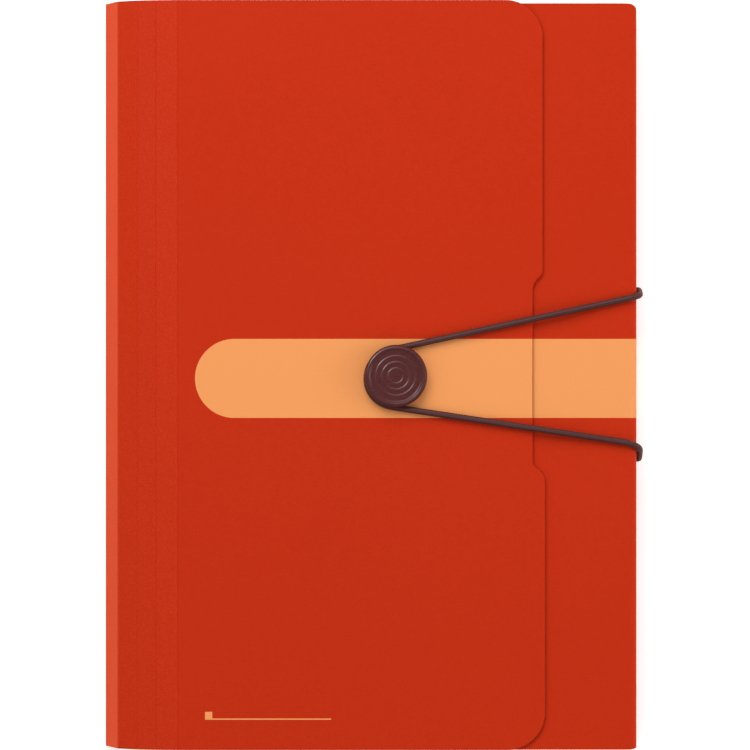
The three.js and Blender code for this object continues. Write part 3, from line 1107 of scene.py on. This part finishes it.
    def build(self, finish: EmbossedPolypropylene) -> bpy.types.Object:
        """Builds the flap.

        Args:
            finish: The sheet's finish.

        Returns:
            The piece.
        """
        low, high = box_mm("flap_sheet")
        case_low, _ = box_mm("case_wrap")
        places, thin = self.rolled(low, high, case_low.x)
        y = self.rows(high.y)
        edge = self.edge(y, high.y)
        start = places[-1]
        inner_rows, edge_rows = self.panel_rows
        share = np.concatenate([np.linspace(0, self.edge_share, inner_rows)[1:],
                                np.linspace(self.edge_share, 1, edge_rows)[1:]])
        x = np.concatenate([
            np.broadcast_to(places[:, :1], (len(places), len(y))),
            start[0] + share[:, None] * (edge - start[0])[None, :],
        ])
        z = np.concatenate([
            np.broadcast_to(places[:, 1:], (len(places), len(y))),
            np.full((len(share), len(y)), high.z),
        ])
        rows_y = np.broadcast_to(y[None, :], x.shape)
        on_panel = smooth(x - start[0], *self.calm_crease) * (np.arange(len(x)) >= len(places))[:, None]
        z = z - self.settle * smooth(x, self.settle_from_x, self.edge_waist) * on_panel
        button_low, button_high = box_mm("closure_button")
        off_button = smooth(np.hypot(x - (button_low.x + button_high.x) / 2, rows_y), *self.calm_button)
        wave = ripple(x, rows_y, self.wave_seed) - self.wave_sink
        z = z + self.unevenness * wave * on_panel * off_button
        depth = np.concatenate([thin, np.full(len(share), self.thickness)])
        faces = [finish.build(Side.FACE, Print.FLAP), finish.build(Side.BACK), finish.build(Side.CUT)]
        piece = sheet_object("flap", np.stack([x, rows_y, z], axis=2), depth, faces, self.round_over)
        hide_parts("flap_sheet")
        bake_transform(piece)
        return piece


@dataclass
class Pockets:
    """The dividers: thin films with an index tab each, standing a little further out towards the back."""

    film: float = 0.3
    tab_width: float = 22.0
    tab_reach: float = 8.0
    tab_radius: float = 2.5
    tab_span: float = 284.0
    # A tab's side leans out by this much, so that its edge stays one strip of the mesh.
    tab_side: float = 0.02
    notch_depth: float = 2.4
    notch_half: float = 7.3
    notch_ease: float = 3.0
    bar_nodes: tuple[str, ...] = ("stopper_bar_upper", "stopper_bar_lower")
    row_step: float = 5.0
    tab_row_step: float = 4.0
    # The mesh has more columns beyond this share of a divider's depth, towards its folded edge.
    edge_share: float = 0.94
    share_step: float = 0.045
    edge_columns: int = 5
    round_over: float = 0.03
    wave: float = 0.32
    wave_seed: float = 1.3
    wave_sink: float = 0.3
    calm_side: float = 25.0
    calm_strip: float = 40.0
    field_shift: float = 0.2
    field_margin: tuple[float, float] = (1.3, 1.8)

    def tab_places(self) -> dict[str, float]:
        """Spreads the index tabs along the mouth, the back divider's at the top.

        Returns:
            For each divider's node, the middle of its tab in mm.
        """
        nodes = sorted(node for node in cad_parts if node.startswith(DIVIDER_PREFIX))
        step = (self.tab_span - self.tab_width) / (len(nodes) - 1)
        return {node: (self.tab_span - self.tab_width) / 2 - k * step for k, node in enumerate(nodes)}

    def tab_edge(self, y: np.ndarray, mouth_x: float, tab_y: float) -> np.ndarray:
        """Gives the mouth edge with its tab for each place along it.

        Args:
            y: Places along the divider.
            mouth_x: Where the edge lies beside the tab.
            tab_y: Middle of the tab.

        Returns:
            The edge's x in mm.
        """
        off = np.abs(y - tab_y)
        half = self.tab_width / 2
        over = np.clip(off - (half - self.tab_radius), 0, self.tab_radius)
        tip = mouth_x - self.tab_reach + self.tab_radius - np.sqrt(self.tab_radius**2 - over**2)
        return np.where(off <= half, tip, mouth_x)

    def rows(self, low: Vector, high: Vector, tab_y: float) -> np.ndarray:
        """Places the rows along a divider, close together at the tab's sides.

        Args:
            low: Lowest corner of the divider.
            high: Highest corner of the divider.
            tab_y: Middle of the tab.

        Returns:
            The rows' y in mm, rising.
        """
        half = self.tab_width / 2
        curve = self.tab_radius * (1 - np.cos(np.linspace(0, math.pi / 2, 7)))
        left = tab_y - half
        right = tab_y + half
        parts = [
            spaced(low.y, left - self.tab_side, self.row_step),
            left + curve,
            spaced(left + self.tab_radius, right - self.tab_radius, self.tab_row_step)[1:],
            right - curve[::-1][1:],
            spaced(right + self.tab_side, high.y, self.row_step),
        ]
        return np.concatenate(parts)

    def build(self, finish: PocketFilm) -> list[bpy.types.Object]:
        """Builds every divider.

        Args:
            finish: The film's finish.

        Returns:
            The pieces, riding on the file's body.
        """
        edge_finish = finish.build_edge()
        bars = [box_mm(node) for node in self.bar_nodes]
        pieces = []
        for number, (node, tab_y) in enumerate(self.tab_places().items()):
            low, high = box_mm(node)
            mouth = low.x + self.tab_reach
            y = self.rows(low, high, tab_y)
            left = self.tab_edge(y, mouth, tab_y)
            right = np.full(len(y), high.x)
            for bar_low, bar_high in bars:
                if bar_low.z < high.z + self.film and bar_high.z > low.z - self.film:
                    off_bar = np.abs(y - (bar_low.y + bar_high.y) / 2)
                    beside = smooth(off_bar, self.notch_half, self.notch_half + self.notch_ease)
                    right = np.minimum(right, high.x - (self.notch_depth + self.film) * (1 - beside))
            share = np.concatenate([spaced(0, self.edge_share, self.share_step),
                                    np.linspace(self.edge_share, 1, self.edge_columns)[1:]])
            x = left[None, :] + (right - left)[None, :] * share[:, None]
            rows_y = np.broadcast_to(y[None, :], x.shape)
            calm = smooth(high.y - np.abs(rows_y), 0, self.calm_side)
            calm = calm * smooth(high.x - x, 0, self.calm_strip)
            z = high.z + self.wave * (ripple(x, rows_y, self.wave_seed * number) - self.wave_sink) * calm
            half_x, half_y = self.tab_reach / 2, self.tab_width / 2
            margin_x, margin_y = self.field_margin
            middle = low.x + half_x - self.field_shift
            face = finish.build(f"{node}_film", Bar(middle, tab_y, half_x - margin_x, half_y - margin_y))
            piece = sheet_object(node + "_film", np.stack([x, rows_y, z], axis=2), self.film,
                                 [face, face, edge_finish], round_over=self.round_over)
            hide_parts(node)
            pieces.append(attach(piece, FILE_BODY))
        return pieces


@dataclass
class Gusset:
    """A pleated side of the pockets, folded from one strip of film."""

    node: str
    film: float = 0.25
    pockets: int = 12
    peak_radius: float = 0.5
    valley_radius: float = 0.3
    pleat_depth: float = 12.0
    flange: float = 8.0
    unevenness: float = 0.22
    # Two waves run along every fold. The lengths are in mm for each radian of the wave.
    long_wave: float = 31.0
    short_wave: float = 13.0
    short_share: float = 0.6
    fold_shift: float = 2.1
    calm_flange: tuple[float, float] = (0.2, 1.5)
    row_step: float = 5.0
    flange_step: float = 2.0
    round_over: float = 0.02

    def section(self, low: Vector, high: Vector) -> np.ndarray:
        """Follows the middle of the film through every pleat.

        Args:
            low: Lowest corner of the gusset.
            high: Highest corner of the gusset.

        Returns:
            For each place, how far in from the outer side it lies, its z, and its share of a pleat's depth.
        """
        half, peak, valley = self.film / 2, self.peak_radius, self.valley_radius
        pitch = (high.z - low.z) / self.pockets
        quarter = np.linspace(0, math.pi / 2, 5)
        out, deep = half + peak, self.pleat_depth - valley
        lift = (peak - half) / 2
        points = [(d, low.z + half) for d in spaced(self.flange, out, self.flange_step)]
        for k in range(self.pockets):
            base = low.z + k * pitch
            middle, top = base + pitch / 2, base + pitch
            if k:
                points += [(out - peak * math.cos(a), base + peak * math.sin(a)) for a in quarter]
            else:
                points += self.half_turn(out, low.z + half + lift, lift, -2.0)
            points += self.slope((out, base + peak), (deep, middle - valley))
            points += self.half_turn(deep, middle, valley, 1.0)
            points += self.slope((deep, middle + valley), (out, top - peak))
            if k < self.pockets - 1:
                points += [(out - peak * math.sin(a), top - peak * math.cos(a)) for a in quarter[1:-1]]
            else:
                points += self.half_turn(out, high.z - half - lift, lift, -2.0)
        points += [(d, high.z - half) for d in spaced(out, self.flange, self.flange_step)[1:]]
        return np.array(points)

    def half_turn(
        self, depth: float, middle_z: float, radius: float, stretch: float
    ) -> list[tuple[float, float]]:
        """Turns the film back on itself, upwards.

        Args:
            depth: How far in the turn's middle lies.
            middle_z: Height of its middle.
            radius: Half its height.
            stretch: How far it bulges inwards, in radii, below zero for outwards.

        Returns:
            How far in each place lies, and its z.
        """
        turns = np.linspace(-math.pi / 2, math.pi / 2, 7)[1:]
        return [(depth + stretch * radius * math.cos(a), middle_z + radius * math.sin(a)) for a in turns]

    def slope(self, start: tuple[float, float], end: tuple[float, float]) -> list[tuple[float, float]]:
        """Gives five places from just after the start of a pleat's flat side to its end."""
        return [tuple(place) for place in np.linspace(start, end, 6)[1:]]

    def build(self, finish: bpy.types.Material, edge: bpy.types.Material) -> bpy.types.Object:
        """Builds the gusset.

        Args:
            finish: The film's face and back.
            edge: Its cut edge.

        Returns:
            The piece, riding on the file's body.
        """
        low, high = box_mm(self.node)
        section = self.section(low, high)
        outer_y, side = (high.y, 1) if high.y > 0 else (low.y, -1)
        along = spaced(low.x, high.x, self.row_step)
        depth, z = section[:, :1], section[:, 1:]
        layer = (z - low.z) / (high.z - low.z) * self.pockets
        wave = np.sin(along[None, :] / self.long_wave + self.fold_shift * np.round(layer))
        wave = wave + self.short_share * np.sin(along[None, :] / self.short_wave + layer)
        calm = smooth(z - low.z, *self.calm_flange) * smooth(high.z - z, *self.calm_flange)
        inward = depth + self.unevenness * (wave + 1 + self.short_share) / 2 * calm
        grid = np.stack([
            np.broadcast_to(along[None, :], inward.shape),
            outer_y - side * inward,
            np.broadcast_to(z, inward.shape),
        ], axis=2)
        if side < 0:
            grid = grid[::-1]
        normals = np.cross(np.gradient(grid, axis=0), np.gradient(grid, axis=1))
        normals /= np.linalg.norm(normals, axis=2, keepdims=True)
        piece = sheet_object(self.node + "_bellows", grid + normals * self.film / 2, self.film,
                             [finish, finish, edge], round_over=self.round_over)
        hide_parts(self.node)
        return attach(piece, FILE_BODY)


@dataclass
class Button:
    """The moulded button: a shank through the flap, a neck for the elastic and a dished head with rings."""

    shank_radius: float = 2.5
    neck_radius: float = 10.2
    groove_height: float = 3.2
    head_radius: float = 13.7
    crest_radius: float = 12.3
    crest_fall: float = 1.5
    dish_radius: float = 10.9
    dish_depth: float = 0.75
    ring_radii: tuple[float, ...] = (8.7, 6.0, 3.3)
    ring_height: float = 0.2
    ring_width: float = 0.42
    foot_round: float = 0.2
    seat_step: tuple[float, float] = (0.1, 0.05)
    fillet: float = 0.5
    fillet_middle: float = 0.15
    lip: float = 0.45
    face_step: float = 0.15

    def head_height(self, radius: float) -> float:
        """Gives the head's height above its dish's level at a radius.

        Args:
            radius: Distance from the axis in mm.

        Returns:
            The height in mm, below the crest.
        """
        if radius >= self.crest_radius:
            over = (radius - self.crest_radius) / (self.head_radius - self.crest_radius)
            return -self.crest_fall * (1 - math.sqrt(max(0.0, 1 - over**2)))
        fall = -self.dish_depth * float(1 - smooth(radius, self.dish_radius, self.crest_radius))
        offs = [(radius - ring) / self.ring_width for ring in self.ring_radii]
        return fall + sum(self.ring_height * math.exp(-(off**2)) for off in offs)

    def build(self, finish: bpy.types.Material) -> bpy.types.Object:
        """Builds the button.

        Args:
            finish: The moulding's finish.

        Returns:
            The piece, riding on the flap.
        """
        low, high = box_mm("closure_button")
        _, flap_high = box_mm("flap_sheet")
        centre = ((low.x + high.x) / 2, (low.y + high.y) / 2)
        sheet_top = flap_high.z
        under = sheet_top + self.groove_height
        shank, foot, neck = self.shank_radius, self.foot_round, self.neck_radius
        profile = [(0.0, low.z), (shank - foot, low.z), (shank, low.z + foot),
                   (shank, sheet_top - self.seat_step[1]), (shank + self.seat_step[0], sheet_top)]
        corner = [(self.fillet, 0.0), (self.fillet_middle, self.fillet_middle), (0.0, self.fillet)]
        profile += [(neck + out, sheet_top + up) for out, up in corner]
        profile += [(neck + out, under - up) for out, up in corner[::-1]]
        for turn in np.linspace(0, math.pi / 2, 6):
            radius = self.head_radius - self.lip + self.lip * math.sin(turn)
            profile.append((radius, under + self.lip - self.lip * math.cos(turn)))
        for turn in np.linspace(0, math.pi / 2, 12):
            radius = self.crest_radius + (self.head_radius - self.crest_radius) * math.cos(turn)
            profile.append((radius, high.z + self.head_height(radius)))
        for radius in np.arange(self.crest_radius - self.face_step, 0.1, -self.face_step):
            profile.append((float(radius), high.z + self.head_height(float(radius))))
        profile.append((0.0, high.z + self.head_height(0.0)))
        piece = lathe_object("button", profile, centre, finish)
        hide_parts("closure_button")
        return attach(piece, FLAP_BODY)


@dataclass
class Elastic:
    """The elastic cord: out of the strip, over the fold, round the button's neck and back."""

    radius: float = 1.45
    fold_y: tuple[float, float] = (34.6, -30.4)
    turn_radius: float = 2.2
    sides: int = 24
    ring_step: float = 0.25
    braid_pitch: float = 5.2
    braid_strands: int = 4
    braid_height: float = 0.12
    end_inset: float = 2.1
    contact: float = 0.06
    loop_radius: float = 12.7
    slack: tuple[float, float] = (-0.35, -1.05)
    # The strand leaves the front panel this far past the fold and lies flat this far before the loop.
    ramp_start: float = 4.0
    ramp_end: float = 6.0
    keep: float = 0.55

    def strand(self, high: Vector, centre: tuple[float, float], loop: float, flap_top: float, edge_x: float,
               end: int) -> tuple[list[list[float]], float]:
        """Follows one end from behind the strip to the loop.

        Args:
            high: Highest corner of the case.
            centre: The button's axis in plan.
            loop: Radius of the cord's middle round the neck.
            flap_top: Height of the flap's face.
            edge_x: Where the strand crosses the flap's free edge.
            end: Zero for the upper end, one for the lower.

        Returns:
            The points in mm, and the angle where the strand meets the loop.
        """
        side = 1 if end == 0 else -1
        case = Case()
        gap, fold = self.radius + self.contact, case.fold_radius
        fold_y, hole_y, hole_z = self.fold_y[end], case.hole_y[end], case.hole_z
        reach = math.hypot(high.x - centre[0], fold_y - centre[1])
        angle = math.atan2(fold_y - centre[1], high.x - centre[0]) + side * math.acos(loop / reach)
        slope = math.tan(angle - side * math.pi / 2)
        strip_x, fold_x, fold_z = high.x + gap, high.x - fold, high.z - fold
        turn_x, turn_z = strip_x - self.turn_radius, hole_z + self.turn_radius
        points = [[high.x - self.end_inset - shift, hole_y, hole_z] for shift in (1.0, 0.5, 0.0)]
        for turn in np.linspace(math.pi / 2, 0, 10):
            points.append([turn_x + self.turn_radius * math.cos(turn), hole_y,
                           turn_z - self.turn_radius * math.sin(turn)])
        start_y = fold_y - slope * fold
        bend = fold + gap
        slide = (hole_y - start_y) / (bend * math.pi / 2 + fold_z - turn_z)
        for z in spaced(turn_z, fold_z, 1.0)[1:]:
            points.append([strip_x, hole_y - slide * (z - turn_z), z])
        for turn in np.linspace(0, math.pi / 2, 14)[1:]:
            points.append([fold_x + bend * math.cos(turn), start_y + slide * bend * (math.pi / 2 - turn),
                           fold_z + bend * math.sin(turn)])
        touch_x = centre[0] + loop * math.cos(angle)
        touch_y = centre[1] + loop * math.sin(angle)
        on_front, on_edge, on_panel = high.z + gap, flap_top - Flap().settle + gap, flap_top + gap
        for x in spaced(fold_x, touch_x, 1.0)[1:]:
            y = start_y + (touch_y - start_y) * (x - fold_x) / (touch_x - fold_x)
            ramp = on_front + (on_edge - on_front) * float(smooth(-x, self.ramp_start - fold_x, -edge_x))
            z = ramp + (on_panel - on_edge) * float(smooth(-x, -edge_x, -touch_x - self.ramp_end))
            points.append([x, y, z])
        return points, angle

    def tube(self, path: np.ndarray, finish: bpy.types.Material) -> bpy.types.Object:
        """Sweeps the braided section along the path.

        Args:
            path: Points of the middle line in mm.
            finish: The cord's finish.

        Returns:
            The new object, with the braid's height stored on its mesh.
        """
        for _ in range(6):
            path[1:-1] = (path[:-2] + 2 * path[1:-1] + path[2:]) / 4
        lengths = np.concatenate([[0], np.cumsum(np.linalg.norm(np.diff(path, axis=0), axis=1))])
        at = np.linspace(0, lengths[-1], int(lengths[-1] / self.ring_step))
        line = np.stack([np.interp(at, lengths, path[:, k]) for k in range(3)], axis=1)
        tangents = np.gradient(line, axis=0)
        tangents /= np.linalg.norm(tangents, axis=1, keepdims=True)
        across = np.cross(tangents[0], [0.3, 0.2, 0.9])
        across /= np.linalg.norm(across)
        turns = np.arange(self.sides) * 2 * math.pi / self.sides
        points, crowns = [], []
        for k, middle in enumerate(line):
            across = across - tangents[k] * (across @ tangents[k])
            across /= np.linalg.norm(across)
            upward = np.cross(tangents[k], across)
            phase = 2 * math.pi * at[k] / self.braid_pitch
            left = np.cos(self.braid_strands * (turns + phase))
            right = np.cos(self.braid_strands * (turns - phase))
            crown = np.clip(0.5 + 0.5 * left * right + 0.15 * (left + right), 0, 1)
            radius = self.radius - self.braid_height * (1 - crown)
            sideways, upwards = np.cos(turns) * radius, np.sin(turns) * radius
            points.append(middle + sideways[:, None] * across + upwards[:, None] * upward)
            crowns.append(crown)
        count, sides = len(line), self.sides
        faces: list[tuple[int, ...]] = []
        for base in range(0, (count - 1) * sides, sides):
            for s in range(sides):
                after = (s + 1) % sides
                faces.append((base + s, base + after, base + sides + after, base + sides + s))
        faces.append(tuple(range(sides))[::-1])
        faces.append(tuple(range((count - 1) * sides, count * sides)))
        piece = mesh_object("elastic", np.concatenate(points), faces, [finish], sharp_degrees=60)
        braid = piece.data.attributes.new(BRAID, "FLOAT", "POINT")
        braid.data.foreach_set("value", np.concatenate(crowns).astype(np.float32))
        return piece

    def build(self, finish: BraidedElastic) -> bpy.types.Object:
        """Builds the cord in its closed place.

        Args:
            finish: The cord's finish.

        Returns:
            The piece, riding on the file's body.
        """
        _, high = box_mm("case_wrap")
        _, flap_high = box_mm("flap_sheet")
        low_button, high_button = box_mm("closure_button")
        centre = ((low_button.x + high_button.x) / 2 + self.slack[0],
                  (low_button.y + high_button.y) / 2 + self.slack[1])
        loop, edge_x = self.loop_radius, Flap().edge_waist
        upper, upper_angle = self.strand(high, centre, loop, flap_high.z, edge_x, 0)
        lower, lower_angle = self.strand(high, centre, loop, flap_high.z, edge_x, 1)
        sweep = 2 * math.pi + lower_angle - upper_angle
        turns = upper_angle + sweep * spaced(0, 1, 0.03)[1:-1]
        loop_z = flap_high.z + self.radius + self.contact
        round_neck = [
            [centre[0] + loop * math.cos(a), centre[1] + loop * math.sin(a), loop_z] for a in turns
        ]
        piece = self.tube(np.array(upper + round_neck + lower[::-1]), finish.build())
        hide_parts("elastic_cord")
        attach(piece, FILE_BODY)
        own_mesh(piece)
        return piece


# Studio


@dataclass(frozen=True)
class Lamp:
    """One soft panel of light that faces the file, in metres and watts."""

    name: str
    place: tuple[float, float, float]
    size: tuple[float, float]
    power: float
    glints_only: bool = False

    def hang(self) -> None:
        """Hangs the panel; one for glints shows only in shiny surfaces."""
        light = bpy.data.lights.new(self.name, "AREA")
        light.shape = "RECTANGLE"
        light.size, light.size_y = self.size
        light.energy = self.power
        lamp = bpy.data.objects.new(self.name, light)
        lamp.location = self.place
        lamp.rotation_euler = (-Vector(self.place)).to_track_quat("-Z", "Y").to_euler()
        lamp.visible_diffuse = not self.glints_only
        bpy.context.scene.collection.objects.link(lamp)


@dataclass
class Studio:
    """A pale table, a camera straight above, soft panels of light and a dim room."""

    lamps: tuple[Lamp, ...] = (
        Lamp("key", (-0.22, 0.95, 1.0), (0.9, 0.9), 11.4),
        Lamp("low_right", (1.6, -0.1, 0.6), (1.0, 0.5), 7.0),
        Lamp("glint", (-0.95, 0.8, 1.3), (0.35, 0.35), 34.0, glints_only=True),
    )
    camera_height: float = 2.4
    view_height: float = 0.3302
    camera_x: float = 0.00095
    sensor: float = 36.0
    # The room is bright in a ring between its horizon and a dim ceiling, given as sines of the angle up.
    horizon: float = 0.2
    dome: float = 0.85
    ceiling: float = 0.25
    dome_range: tuple[float, float] = (0.18, 0.38)
    ceiling_range: tuple[float, float] = (0.82, 0.97)
    table_half: float = 3.0
    table_drop: float = 0.0002
    table_glow: float = 0.4
    table_roughness: float = 0.85
    table_specular: float = 0.1

    def build(self) -> None:
        """Makes the table, the lights, the room and the camera."""
        self.table()
        for lamp in self.lamps:
            lamp.hang()
        self.room()
        self.camera()
        view = bpy.context.scene.view_settings
        view.view_transform = "Standard"
        view.look = "None"

    def table(self) -> None:
        """Makes the table top under the file, which glows a little so that it stays white."""
        half, level = self.table_half, -self.table_drop
        corners = [[-half, -half, level], [half, -half, level], [half, half, level], [-half, half, level]]
        material, tree = start_material("backlit_opal_acrylic")
        surface(tree, {
            "Base Color": between(tree, noise(tree, 400.0), linear("F6F6F5"), linear("F9F9F8")),
            "Roughness": self.table_roughness,
            "Specular IOR Level": self.table_specular,
            "Emission Color": (1.0, 1.0, 1.0, 1.0),
            "Emission Strength": self.table_glow,
        })
        mesh_object("table_top", np.array(corners) / MM, [(0, 1, 2, 3)], [material])

    def room(self) -> None:
        """Fills the room with dim, even light."""
        world = bpy.data.worlds.new("room")
        world.use_nodes = True
        tree = world.node_tree
        background = tree.nodes["Background"]
        towards = add(tree, "ShaderNodeTexCoord").outputs["Generated"]
        height = add(tree, "ShaderNodeSeparateXYZ", {0: towards}).outputs[2]
        ring = remap(tree, height, *self.dome_range, self.horizon, self.dome)
        dimming = remap(tree, height, *self.ceiling_range, 1.0, self.ceiling / self.dome)
        strength = maths(tree, "MULTIPLY", ring, dimming)
        background.inputs["Color"].default_value = (1.0, 1.0, 1.0, 1.0)
        tree.links.new(strength, background.inputs["Strength"])
        bpy.context.scene.world = world

    def camera(self) -> None:
        """Sets the camera straight above the file, framed as the photograph is."""
        data = bpy.data.cameras.new("camera")
        data.sensor_width = self.sensor
        data.lens = self.sensor * self.camera_height / self.view_height
        data.clip_end = 20.0
        camera = bpy.data.objects.new("camera", data)
        _, high = box_mm("flap_sheet")
        camera.location = (self.camera_x, 0.0, high.z * MM + self.camera_height)
        bpy.context.scene.collection.objects.link(camera)
        bpy.context.scene.camera = camera


# Assembly


def refinish(node: str, material: bpy.types.Material) -> None:
    """Gives a CAD node its finish.

    Args:
        node: The node's name.
        material: Its material.
    """
    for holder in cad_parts[node].material_slots:
        holder.material = material


def main() -> None:
    """Builds the file from its case to its elastic, then the studio, and logs the pieces' names."""
    logging.basicConfig(level=logging.INFO, format="%(message)s")
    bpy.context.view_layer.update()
    sheet = EmbossedPolypropylene()
    film = PocketFilm()
    brown = MouldedPolypropylene("moulded_polypropylene_brown", "532524", "4B2020")
    white = MouldedPolypropylene("moulded_polypropylene_white", "DEDBD3", "D2CFC6")
    log.info("case: %s", Case().build(sheet).name)
    log.info("flap: %s", Flap().build(sheet).name)
    for piece in Pockets().build(film):
        log.info("divider: %s", piece.name)
    gusset_film, gusset_edge = film.build("gusset_film"), film.build_edge()
    for node in ("side_gusset_top", "side_gusset_bottom"):
        log.info("gusset: %s", Gusset(node).build(gusset_film, gusset_edge).name)
    brown_moulding = brown.build()
    log.info("button: %s", Button().build(brown_moulding).name)
    refinish("rivet_washer", brown_moulding)
    log.info("elastic: %s", Elastic().build(BraidedElastic()).name)
    white_moulding = white.build()
    for node in Pockets().bar_nodes:
        refinish(node, white_moulding)
    Studio().build()


if __name__ == "__main__":
    main()
